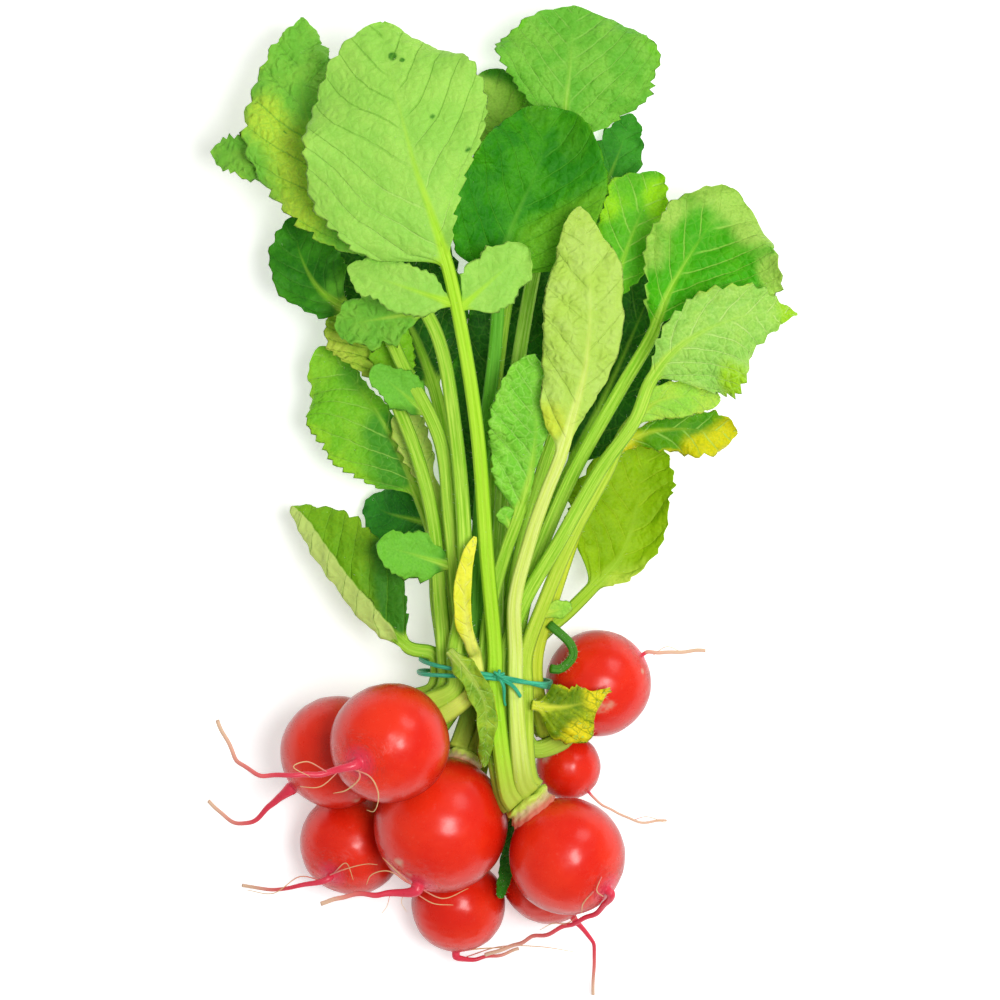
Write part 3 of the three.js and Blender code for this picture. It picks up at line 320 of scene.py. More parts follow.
def from_plan(places):
    """Real places of plan places: x and y shrink by z / EYE_HEIGHT."""
    real = np.array(places, float).reshape(-1, 3)
    real[:, :2] *= 1 - real[:, 2:] / EYE_HEIGHT
    return real


def unit(vectors):
    """The vectors divided by their lengths."""
    vectors = np.asarray(vectors, float)
    return vectors / np.maximum(np.linalg.norm(vectors, axis=-1, keepdims=True), 1e-12)


def curve_at(points, where):
    """The centripetal Catmull-Rom curve through the points, at the knot numbers `where`.

    Each stretch is a cubic from b to c. Its end slopes come from the four points a, b, c, d
    with knots spaced by the square root of their distance.
    """
    where = np.clip(where, 0, len(points) - 1)
    first = np.minimum(where.astype(int), len(points) - 2)
    w = (where - first)[:, None]
    ends = np.vstack([2 * points[0] - points[1], points, 2 * points[-1] - points[-2]])
    a, b, c, d = (ends[first + k] for k in range(4))
    ab, bc, cd = (np.linalg.norm(q - p, axis=1, keepdims=True) ** 0.5 for p, q in ((a, b), (b, c), (c, d)))
    start = ((b - a) / ab - (c - a) / (ab + bc) + (c - b) / bc) * bc
    stop = ((c - b) / bc - (d - b) / (bc + cd) + (d - c) / cd) * bc
    squared = -3 * b + 3 * c - 2 * start - stop
    cubed = 2 * b - 2 * c + start + stop
    return b + w * start + w ** 2 * squared + w ** 3 * cubed


def stretch_of(points, start, stop):
    """Close points of the curve between two knot numbers, and their distances from the first."""
    dense = curve_at(points, np.linspace(start, stop, CURVE_SAMPLES))
    away = np.concatenate([[0], np.cumsum(np.linalg.norm(np.diff(dense, axis=0), axis=1))])
    return dense, away


def line_at(dense, away, shares):
    """Points at shares of the length of a stretch."""
    return np.stack([np.interp(shares * away[-1], away, dense[:, k]) for k in range(3)], 1)


def frames_of(line):
    """Along, across to the right and out of the upper face at each point: across is along x up."""
    along = unit(np.gradient(line, axis=0))
    across = unit(np.cross(along, UP))
    return along, across, np.cross(across, along)


def smooth(value):
    """The curve 3s^2 - 2s^3 of the share s, held between 0 and 1."""
    share = np.clip(value, 0, 1)
    return share * share * (3 - 2 * share)


def ripples(x, y, length, seed, count=7):
    """Smooth random height between about -1 and 1: a sum of plane waves of about that length."""
    draw = np.random.default_rng(seed)
    height = 0
    for turn, size, shift in zip(draw.uniform(0, math.tau, count), draw.uniform(0.6, 1.5, count),
                                 draw.uniform(0, math.tau, count)):
        height = height + np.sin((x * math.cos(turn) + y * math.sin(turn)) * math.tau * size / length + shift)
    return height / math.sqrt(count)


# Meshes

class Shape:
    """Vertices, faces and values at the vertices of one piece, gathered from closed tubes."""

    def __init__(self):
        self.places, self.quads, self.corners, self.values, self.count = [], [], [], {}, 0

    def tube(self, rings, **values):
        """A closed tube through rings (rows, around, 3), its ends closed by a fan to their middles."""
        rows, around = rings.shape[:2]
        grid = np.arange(rows * around).reshape(rows, around) + self.count
        beside = np.roll(grid, -1, axis=1)
        quads = np.stack([grid[:-1], beside[:-1], beside[1:], grid[1:]], -1).reshape(-1, 4)
        first, last = self.count + rows * around, self.count + rows * around + 1
        bottom = np.stack([np.full(around, first), beside[0], grid[0]], 1)
        top = np.stack([np.full(around, last), grid[-1], beside[-1]], 1)
        places = np.vstack([rings.reshape(-1, 3), rings[0].mean(0), rings[-1].mean(0)])
        corners = np.vstack([bottom, top])
        if signed_volume(places, quads - self.count, corners - self.count) < 0:
            quads, corners = quads[:, ::-1], corners[:, ::-1]
        self.places.append(places)
        self.quads.append(quads)
        self.corners.append(corners)
        for name, value in values.items():
            flat = np.broadcast_to(value, (rows, around)).reshape(-1)
            self.values.setdefault(name, []).append(
                np.concatenate([flat, [flat[:around].mean(), flat[-around:].mean()]]))
        self.count += len(places)
        return self


def signed_volume(places, quads, corners):
    """Six times the volume inside closed faces: the sum of a . (b x c) over their triangles."""
    triangles = np.vstack([quads[:, (0, 1, 2)], quads[:, (0, 2, 3)], corners])
    a, b, c = (places[triangles[:, k]] - places.mean(0) for k in range(3))
    return np.einsum("ij,ij->", a, np.cross(b, c))


def piece(name, shape, material, slot, *nodes):
    """A mesh object of the shape, in metres, that stands for the nodes of the frame."""
    places = (np.vstack(shape.places) + PLAN_SHIFT) * MM
    quads, corners = np.vstack(shape.quads), np.vstack(shape.corners)
    mesh = bpy.data.meshes.new(name)
    mesh.vertices.add(len(places))
    mesh.vertices.foreach_set("co", places.ravel())
    loops = np.concatenate([quads.ravel(), corners.ravel()])
    mesh.loops.add(len(loops))
    mesh.loops.foreach_set("vertex_index", loops)
    starts = np.concatenate([np.arange(len(quads)) * 4, len(quads) * 4 + np.arange(len(corners)) * 3])
    mesh.polygons.add(len(starts))
    mesh.polygons.foreach_set("loop_start", starts)
    mesh.polygons.foreach_set("use_smooth", np.ones(len(starts), bool))
    mesh.update(calc_edges=True)
    values = {key: np.concatenate(parts) for key, parts in shape.values.items()}
    if "u" in values:
        layer = mesh.uv_layers.new(name="surface")
        layer.data.foreach_set("uv", np.stack([values.pop("u"), values.pop("v")], 1)[loops].ravel())
    for key, value in values.items():
        mesh.attributes.new(key, "FLOAT", "POINT").data.foreach_set("value", value.astype(np.float32))
    if mesh.validate():
        raise RuntimeError(f"the mesh of {name} had faults")
    mesh.materials.append(material)
    thing = bpy.data.objects.new(name, mesh)
    bpy.context.scene.collection.objects.link(thing)
    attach(thing, "root")
    if nodes:
        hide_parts(*nodes)
    return thing


# Materials

def tone(red, green, blue):
    """The linear colour of display values from 0 to 255."""
    share = np.array((red, green, blue)) / 255
    linear = np.where(share <= 0.04045, share / 12.92, ((share + 0.055) / 1.055) ** 2.4)
    return tuple(float(part) for part in linear)


class Varies:
    """A number that varies over a surface: + - * / and ** on it add Math nodes."""

    def __init__(self, recipe, socket):
        self.recipe, self.socket = recipe, socket

    def maths(self, operation, *numbers):
        """One Math node on the numbers."""
        return self.recipe.node("ShaderNodeMath", {"operation": operation}, dict(enumerate(numbers)))

    def __add__(self, other):
        return self.maths("ADD", self, other)

    def __sub__(self, other):
        return self.maths("SUBTRACT", self, other)

    def __mul__(self, other):
        return self.maths("MULTIPLY", self, other)

    def __truediv__(self, other):
        return self.maths("DIVIDE", self, other)

    def __pow__(self, other):
        return self.maths("POWER", self, other)

    def __rsub__(self, other):
        return self.maths("SUBTRACT", other, self)

    def __rtruediv__(self, other):
        return self.maths("DIVIDE", other, self)

    __radd__, __rmul__ = __add__, __mul__


class Recipe:
    """The node tree of one material."""

    def __init__(self, name):
        self.material = bpy.data.materials.new(name)
        self.material.use_nodes = True
        self.tree = self.material.node_tree
        self.tree.nodes.clear()

    def node(self, kind, settings=None, values=None, output=0):
        """One node: its settings are set first, then the values or links of its sockets."""
        node = self.tree.nodes.new(kind)
        for key, value in (settings or {}).items():
            setattr(node, key, value)
        for key, value in (values or {}).items():
            if isinstance(value, Varies):
                self.tree.links.new(value.socket, node.inputs[key])
            elif isinstance(value, tuple) and len(value) == 3 and node.inputs[key].type == "RGBA":
                node.inputs[key].default_value = (*value, 1)
            else:
                node.inputs[key].default_value = value
        return Varies(self, node.outputs[output]) if node.outputs else node

    def value(self, name):
        """A value that the mesh carries at its vertices."""
        return self.node("ShaderNodeAttribute", {"attribute_name": name}, output="Fac")

    def surface_place(self):
        """The place on the surface, in centimetres across and along."""
        return self.node("ShaderNodeUVMap", {"uv_map": "surface"})

    def scaled(self, vector, x, y, z=1.0):
        """The vector with its parts multiplied by x, y and z."""
        return self.node("ShaderNodeVectorMath", {"operation": "MULTIPLY"}, {0: vector, 1: (x, y, z)})

    def noise(self, vector, scale, detail=3.0, rough=0.55, bent=0.0):
        """Cloudy noise between 0 and 1, mostly near 0.5."""
        return self.node("ShaderNodeTexNoise", {}, {
            "Vector": vector, "Scale": scale, "Detail": detail, "Roughness": rough, "Distortion": bent})

    def cells(self, vector, scale):
        """The distance from the borders of random cells: a net of fine veins where it is near 0."""
        return self.node("ShaderNodeTexVoronoi", {"feature": "DISTANCE_TO_EDGE"},
                         {"Vector": vector, "Scale": scale})

    def step(self, value, low, high):
        """0 below low and 1 above high, smooth between."""
        return self.node("ShaderNodeMapRange", {"interpolation_type": "SMOOTHSTEP"},
                         {"Value": value, "From Min": low, "From Max": high})

    def mix(self, share, first, second):
        """The first colour, and the second where the share is 1."""
        return self.node("ShaderNodeMix", {"data_type": "RGBA"}, {0: share, 6: first, 7: second}, output=2)

    def finish(self, colour, roughness, height, bump, **constants):
        """A principled surface with a bumpy normal. `bump` is the height of 1 in metres."""
        normal = self.node("ShaderNodeBump", {}, {"Strength": 1.0, "Distance": bump, "Height": height})
        surface = self.node("ShaderNodeBsdfPrincipled", {}, {
            "Base Color": colour, "Roughness": roughness, "Normal": normal, **constants})
        self.node("ShaderNodeOutputMaterial", {}, {"Surface": surface})
        return self.material


# Leaves

def half_width(side, share):
    """The half-width of one side of a blade: widest times sin(pi share^(log 0.5 / log belly)) to
    the power pointed."""
    widest, belly, pointed = side
    return widest * np.maximum(np.sin(np.pi * share ** (np.log(0.5) / np.log(belly))), 0) ** pointed


def half_place(reach, fold, bend, curl):
    """A point on one half of a blade, for a half of width 1: across, up, and the slope there.

    The slope is the fold plus bend r, or for a half that turns over, plus bend smooth((r - curl) /
    span); across and up are the sums of its cosine and sine from the rib out.
    """
    r = np.linspace(0, 1, FOLD_STEPS + 1)
    slope = np.radians(fold + bend * (smooth((r - curl) / CURL_SPAN) if curl else r))
    middle = (slope[1:] + slope[:-1]) / 2
    sums = [np.concatenate([[0], np.cumsum(way(middle)) / FOLD_STEPS]) for way in (np.cos, np.sin)]
    return [np.interp(reach, r, row) for row in (*sums, slope)]


def teeth_of(share, count, depth, draw):
    """The edge's teeth: each rises slowly towards the tip and drops back, with two small ones on it."""
    place = share * count + draw.uniform()
    size = draw.uniform(0.55, 1.35, count + 3)[np.floor(place).astype(int)]
    rise = place % 1
    tooth = np.where(rise < TOOTH_PEAK, rise / TOOTH_PEAK, (1 - rise) / (1 - TOOTH_PEAK))
    small = (place * 3) % 1
    small = np.where(small < SMALL_TOOTH_PEAK, small / SMALL_TOOTH_PEAK, (1 - small) / (1 - SMALL_TOOTH_PEAK))
    return depth * (size * (tooth - 0.75) + 0.22 * (small - 0.5)) * np.minimum(share * 6, 1)


def vein_pitch(length):
    """The distance between two side veins on a blade of that length."""
    return max(length / VEINS_ON_BLADE, LEAST_PITCH)


def veins_of(x, y, length, seed):
    """The number of side veins from the base up to a place, the furrow over the nearest one, and
    the height of the blade between them.

    A side vein leaves the rib at the distance y0 and follows y = y0 + rise |x| + bend x^2.
    Between two veins the blade is puffed up as |sin|, and across that into small pillows.
    """
    away = np.abs(x)
    pitch = vein_pitch(length)
    bent = 1.6 * ripples(x, y, 34, seed)
    order = (y - VEIN_RISE * away - VEIN_BEND * away ** 2 + bent) / pitch + np.where(x < 0, 0.42, 0)
    near = np.abs(order - np.round(order))
    furrow = np.exp(-((near * pitch * VEIN_SLANT / 0.9) ** 2))
    pillows = np.abs(np.cos(math.pi * (away / 7.5 + 0.37 * np.round(order)))) ** 0.6
    puff = np.abs(np.sin(math.pi * order)) ** 0.7 * (0.5 + 0.5 * pillows)
    return order, furrow, puff


def leaf_tube(shape, line, shares, stem_rows, blade_length, leaf, radius, look, seed):
    """A stem and blade as one closed tube round the line, with its values.

    On the stem a ring is an ellipse with a groove on its upper side. On the blade it is a thin
    strip, folded along the rib and bent or curled over on its way to the edge. Waves, puckers and
    teeth move it along its normal and at its edge. Over the first BLADE_GROWTH one becomes the other.
    """
    draw = np.random.default_rng(seed)
    half_count = look["columns"]
    q = np.linspace(-1, 1, 2 * half_count + 1)
    q = np.concatenate([q, q[-2:0:-1]])
    face = np.ones(len(q))
    face[2 * half_count + 1:] = -1
    face[[0, 2 * half_count]] = 0
    share = shares[:, None]
    _, across, out = (part[:, None, :] for part in frames_of(line))
    point = line[:, None, :]
    flat = smooth(share * blade_length / BLADE_GROWTH)

    angle = math.pi / 2 * (1 - q)
    groove = 1 - GROOVE_DEPTH * np.exp(-((np.cos(angle) / GROOVE_WIDTH) ** 2)) * (face > 0)
    ridges = 1 + STEM_RIDGE_HEIGHT * np.cos(STEM_RIDGES * angle + seed)
    stem = point + radius[:, None, None] * (
        across * (np.cos(angle) * ridges)[None, :, None] * STEM_WIDENING
        + out * (np.sin(angle) * face * groove * ridges)[None, :, None])

    place = np.sign(q) * np.abs(q) ** EDGE_CROWDING
    side, reach = np.sign(place)[None], np.abs(place)[None]
    row = radius[:, None]
    halves = [np.maximum(half_width(leaf[key], share), row) for key in ("left", "right")]
    ragged = [1 + look["ragged"] * ripples(share * 40, 0, RAGGED_LENGTH, seed + k) for k in (0, 1)]
    edge = [teeth_of(share, round(leaf["teeth"] * 1.6) + 2, look["tooth"], draw) for _ in (0, 1)]
    half = np.where(side < 0, halves[0] * ragged[0], halves[1] * ragged[1])
    half = half + np.where(side < 0, edge[0], edge[1]) * reach ** 5 * smooth(half / 6)
    sides = [half_place(reach, leaf["fold"][one], leaf["bend"][one], leaf.get("curl", (0, 0))[one])
             for one in (0, 1)]
    beyond, raised, slope = (np.where(side < 0, left, right) for left, right in zip(*sides))
    slope = slope * np.abs(side)
    normal = out * np.cos(slope)[..., None] - across * (side * np.sin(slope))[..., None]

    x = side * reach * half
    y = share * blade_length + 0 * x
    order, furrow, puff = veins_of(x, y, blade_length, seed)
    calm = smooth(np.abs(x) / 5)
    rim = smooth((half - np.abs(x)) / 2.5)
    ruffle = look["ruffle"] * reach ** 3 * ripples(x * 0.4, y, RUFFLE_LENGTH, seed + 5)
    lift = leaf["wave"][0] * look["waved"] * np.sin(math.tau * leaf["wave"][1] * share) * reach ** 2 * side
    lift = lift + ruffle + 0.5 * ripples(x, y, 30, seed + 7) * calm
    lift = lift + look["pucker"] * (puff - 0.5) * calm * (0.4 + 0.6 * rim) + 0.12 * ripples(x, y, 4, seed + 9)
    rib = np.exp(-((x / (row * 1.5)) ** 2))
    sheet = look["thick"] / 2 * np.sqrt(np.clip(1 - reach ** 10, 0, 1))
    furrow = furrow * look["veins"]
    under = np.maximum(sheet + 0.2 * furrow * rim, row * np.sqrt(np.clip(1 - (x / (row * 1.25)) ** 2, 0, 1)))
    above = sheet + 0.35 * row * rib - 0.12 * furrow * calm
    lift = lift + np.where(face > 0, above, np.where(face < 0, -under, 0))
    blade = (point + across * (side * half * beyond)[..., None] + out * (half * raised)[..., None]
             + normal * lift[..., None])
    rings = stem + (blade - stem) * flat[..., None]

    rings[..., 2] = above_table(rings[..., 2])

    patch = look["patched"] + 0 * x
    for part, beside, size, strength in look["patches"]:
        patch = patch + strength * np.exp(-(((x - beside) ** 2 + (y - part * blade_length) ** 2) / size ** 2))
    distance = np.concatenate([[0], np.cumsum(np.linalg.norm(np.diff(line, axis=0), axis=1))])
    distance = (distance - distance[stem_rows])[:, None]
    shape.tube(
        rings,
        u=(x * flat + (1 - flat) * np.cos(angle) * row * 1.6) / 10 + seed % 7,
        v=(distance + 0 * x) / 10,
        order=order,
        rib=1 - flat * (1 - rib * (1 - 0.35 * share)),
        edge=reach * flat,
        under=(face < 0) * flat,
        span=share + 0 * x,
        base=np.exp(-np.maximum(distance - distance[0], 0) / BASE_FADE) * look["based"] + 0 * x,
        patch=np.clip(patch, 0, 1) * flat,
        # flank: painted shade on the stem, 1 on its flanks and underside, 0 along its top
        flank=(1 - np.maximum(np.sin(angle) * face, 0)) * (1 - flat) + 0 * x,
        veins=look["veins"] + 0 * x,
    )
    return rings


def above_table(height):
    """Heights below a gap g drawn in so that they stay above the table: g e^((z - g) / g)."""
    drawn = TABLE_GAP * np.exp((np.minimum(height, TABLE_GAP) - TABLE_GAP) / TABLE_GAP)
    return np.where(height < TABLE_GAP, drawn, height)


def row_shares(length, spacing):
    """Shares of a blade for its rows, closer together at both ends."""
    even = np.linspace(0, 1, max(round(length / spacing), 12) + 1)
    return even - 0.72 * np.sin(math.tau * even) / math.tau


def leaf_piece(shape, leaf, points, blade_from, start_radius, blade_radius, look, seed):
    """A whole leaf: its stem and blade, and its lobes on the stem or rib."""
    last = len(points) - 1
    blade, blade_away = stretch_of(points, blade_from, last)
    blade_length = blade_away[-1] if leaf["teeth"] else 0
    shares = row_shares(blade_length, look["spacing"]) if leaf["teeth"] else np.zeros(1)
    line = line_at(blade, blade_away, shares) if leaf["teeth"] else points[-1:]
    stem_length, stem_rows = 0, 0
    if blade_from:
        stem, stem_away = stretch_of(points, 0, blade_from)
        stem_length = stem_away[-1]
        stem_rows = max(round(stem_length / STEM_STEP), 2)
        stem_shares = np.arange(stem_rows) / stem_rows
        line = np.vstack([line_at(stem, stem_away, stem_shares), line])
        shares = np.concatenate([np.zeros(stem_rows), shares])
    grown = np.minimum(np.arange(len(line)) / max(stem_rows, 1), 1) if stem_rows else np.ones(len(line))
    radius = start_radius + (blade_radius - start_radius) * grown
    radius = radius + (RIB_RADIUS_AT_TIP - radius) * shares
    radius = radius * (1 + look["based"] * 0.4 * np.exp(-grown * stem_length / 12))
    rings = leaf_tube(shape, line, shares, stem_rows, blade_length, leaf, radius, look, seed)
    if leaf["lobes"]:
        whole, whole_away = stretch_of(points, 0, last)
        along, across, out = frames_of(whole)
    for number, (below, side, length, half, angle, rise) in enumerate(leaf["lobes"]):
        place = np.searchsorted(whole_away, stem_length - below)
        turn = math.radians(angle)
        way = along[place] * math.cos(turn) + across[place] * side * math.sin(turn)
        lobe_shares = row_shares(length, look["spacing"])
        lobe_line = (whole[place] + way * (length * lobe_shares)[:, None]
                     + out[place] * (rise * lobe_shares ** 2)[:, None])
        edge = (half, LOBE_BELLY, LOBE_POINTED)
        lobe = dict(left=edge, right=edge, fold=(LOBE_FOLD, LOBE_FOLD), bend=(0, 0), wave=(0, 1),
                    teeth=max(round(length / 5), 3))
        lobe_radius = LOBE_STEM_RADIUS + (RIB_RADIUS_AT_TIP - LOBE_STEM_RADIUS) * lobe_shares
        lobe_look = dict(look, columns=max(int(half / LOBE_COLUMN), 8), based=0, tooth=look["tooth"] * 0.8,
                         ruffle=look["ruffle"] * 1.6, ragged=0.15, patches=(), veins=0.2,
                         patched=look["lobe_patched"])
        leaf_tube(shape, lobe_line, lobe_shares, 0, length, lobe, lobe_radius, lobe_look, seed + 20 + number)
    return rings


def slot_place(row, place, offset):
    """The plan place of a slot in the tie, `offset` above or below it along the stems."""
    return (TIE_CENTRE[0] + (TIE_ROW_STARTS[row] + place) * TIE_SLOT_ACROSS, TIE_CENTRE[1] + offset,
            TIE_CENTRE[2] + (2 - row) * TIE_SLOT_UP)


def crown_place(radish):
    """The way a crown points, its end, and the radius of the ring on which its stems sit."""
    way = unit(radish["crown"])
    top = from_plan(radish["centre"])[0] + way * (radish["radius"] + CROWN_LENGTH)
    stems = radish["stems"]
    ring = (STEM_RADIUS + SEAT_SPACE) / math.sin(math.pi / stems) if stems > 1 else 0
    return way, top, ring


def seat_frame(way, top):
    """Sideways and upwards at a crown's end: square to its way, sideways level as seen from the tie."""
    across = unit(np.cross(from_plan(TIE_CENTRE)[0] - top, UP))
    sideways = unit(across - way * across.dot(way))
    return sideways, np.cross(sideways, way)


def leaf_points(leaf):
    """The points that a leaf's stem and rib pass: its seat, the tie and its path."""
    radish = next(one for one in RADISHES if one["name"] == leaf["plant"])
    way, top, ring = crown_place(radish)
    sideways, upwards = seat_frame(way, top)
    turn = math.radians(leaf["seat"])
    seat = top + way * GAP + sideways * math.cos(turn) * ring + upwards * math.sin(turn) * ring
    via = leaf.get("via", ())
    below = slot_place(*leaf["slot"], -TIE_STRAIGHT_BELOW)
    above = slot_place(*leaf["slot"], TIE_STRAIGHT_ABOVE)
    plan = (*via, below, above, *leaf["path"])
    return np.vstack([seat, seat + way * CROWN_EXIT, from_plan(plan)]), leaf["blade_from"] + len(via) + 4


def leaf_material(name, look, pitch):
    """Green blade in two shades with a net of fine veins, side veins and rib, a tinted edge, patches
    of another colour, dark specks, a paler underside, and a streaked stem that pales to its base
    and has painted shade on its flanks.
    A side vein is where the vein number is whole; `pitch` is the distance between two, in mm."""
    recipe = Recipe(name)
    place = recipe.surface_place()
    order, rib, edge, under, patch = (recipe.value(key) for key in ("order", "rib", "edge", "under", "patch"))
    base, span = recipe.value("base"), recipe.value("span")
    clouds = recipe.noise(place, 0.9, 4, 0.6, 0.4)
    fine = recipe.noise(place, 14, 4, 0.65)
    wander = recipe.noise(place, 2.2, 2, 0.5)
    net = recipe.cells(recipe.node("ShaderNodeVectorMath", {"operation": "ADD"}, {
        0: place, 1: recipe.scaled(recipe.node("ShaderNodeTexNoise", {}, {
            "Vector": place, "Scale": 3.0}, output=1), 0.25, 0.25, 0.25)}), 3.4)
    thread = 1 - recipe.step(net, 0.0, 0.09)
    order = order + (wander - 0.5) * (1.6 / pitch)
    off = order.maths("PINGPONG", order, 0.5) * (pitch * VEIN_SLANT)
    vein = (1 - recipe.step(off - 0.3 * (1 - edge * 0.8), -0.16, 0.14)) * recipe.step(edge, 0.0, 0.12)
    vein = vein * recipe.value("veins")
    shade = recipe.step(clouds, look["split"] - 0.14, look["split"] + 0.14)
    blade = recipe.mix(shade, look["main"], look["second"])
    rim = recipe.step(edge + (clouds - 0.5) * 0.9, 1.05 - look["rim"], 1.25 - look["rim"])
    blade = recipe.mix(rim, blade, look["edge"])
    blade = recipe.mix(recipe.step(patch + (clouds - 0.5) * 0.7, 0.2, 0.75), blade, look["patch"])
    blade = recipe.mix(thread * look["net"], blade, look["vein"])
    blade = recipe.mix(recipe.step(fine, 0.35, 0.75) * 0.35, blade, look["deep"])
    blade = recipe.mix(under, blade, look["under"])
    veins = recipe.mix(recipe.step(span + (clouds - 0.5) * 0.5, 0.3, 0.6), look["vein_low"], look["vein"])
    blade = recipe.mix(vein * look["veined"], blade, veins)
    specks = recipe.step(recipe.noise(place, 1.7, 2, 0.5, 0.6), 0.74, 0.79) * look["specks"]
    blade = recipe.mix(specks, blade, look["speck"])
    streaks = recipe.noise(recipe.scaled(place, 9.0, 0.35), 1.6, 4, 0.6)
    stem = recipe.mix(recipe.step(streaks, 0.3, 0.7), look["stem"], look["stem_pale"])
    stem = recipe.mix(recipe.step(base, 0.1, 1.0), stem, look["stem_base"])
    # Painted shade: the stem's flanks are painted a deeper green.
    stem = recipe.mix(recipe.step(recipe.value("flank"), 0.2, 0.9) * 0.6, stem, look["stem_deep"])
    ribbed = recipe.step(rib - span * 0.35, 0.35, 0.9) * (1 - span * look["rib_fade"])
    colour = recipe.mix(ribbed, blade, stem)
    height = recipe.step(net, 0.0, 0.4) * (1 - rib) * look["pillow"] - vein * 0.7
    height = height + recipe.noise(place, 9, 3, 0.6) * 0.8 + streaks * rib * 0.3
    return recipe.finish(colour, 0.5 + fine * 0.2, height, 0.00022, **{
        "Subsurface Weight": 0.06, "Subsurface Radius": (0.0012, 0.002, 0.0004), "Subsurface Scale": 1.0,
        "Specular IOR Level": 0.18})


# How each leaf looks: display colours from 0 to 255, and sizes in millimetres
#   main, second     the blade's two greens; where the clouds pass `split` the second begins
#   edge, rim        the colour of the blade's edge, and how far in it reaches
#   vein, vein_low   the side veins towards the tip and near the base, `veined` how plainly they show
#   deep, under      fine mottles in the blade, and its underside
#   stem, stem_pale  the stem's streaks; stem_base is its foot, stem_deep the painted shade on its flanks
#   speck, specks    dark spots, and how plainly they show
#   net, pillow      how plainly the net of fine veins shows, and how high the blade is puffed in it
#   patch, patches   another colour, and where: share of the blade's length, distance right of the rib,
#                    size, strength; patched and lobe_patched spread it over the blade or its lobes
#   tooth, ragged    depth of the teeth, and how uneven the half-widths are
#   ruffle, pucker   height of the edge's ruffles, and of the puffs between side veins
#   waved, veins     share of the solid's waves that is kept, and how deep the side veins are cut
#   thick, rib_fade  thickness of the blade, and how much the rib's colour fades towards the tip
#   based            how much the stem pales and widens at its foot
TINTS = {
    "leaf_green": dict(main=(112, 196, 40), second=(142, 212, 54), edge=(156, 220, 36), under=(158, 210, 96)),
    "leaf_dark": dict(main=(30, 108, 14), second=(66, 150, 26), edge=(76, 160, 24), under=(90, 150, 60)),
    "leaf_pale": dict(main=(172, 220, 84), second=(190, 228, 84), edge=(190, 226, 52), under=(182, 220, 104)),
    "leaf_yellow": dict(main=(158, 200, 30), second=(200, 214, 36), edge=(216, 218, 26),
                        under=(180, 210, 70)),
}
PLAIN = dict(
    vein=(172, 220, 96), deep=(70, 150, 24), stem=(132, 198, 24), stem_pale=(194, 232, 84),
    stem_base=(178, 196, 66), speck=(40, 90, 25), split=0.5, rim=0.12, net=0.22, veined=0.55, specks=0.0,
    rib_fade=0.5, tooth=1.5, ragged=0.035, ruffle=0.7, pucker=0.7, thick=0.5, spacing=BLADE_STEP, based=1.0,
    patch=(190, 214, 40), patched=0.0, lobe_patched=0.0, patches=(), waved=1.0, pillow=1.0, veins=1.0,
    stem_deep=(72, 132, 14))
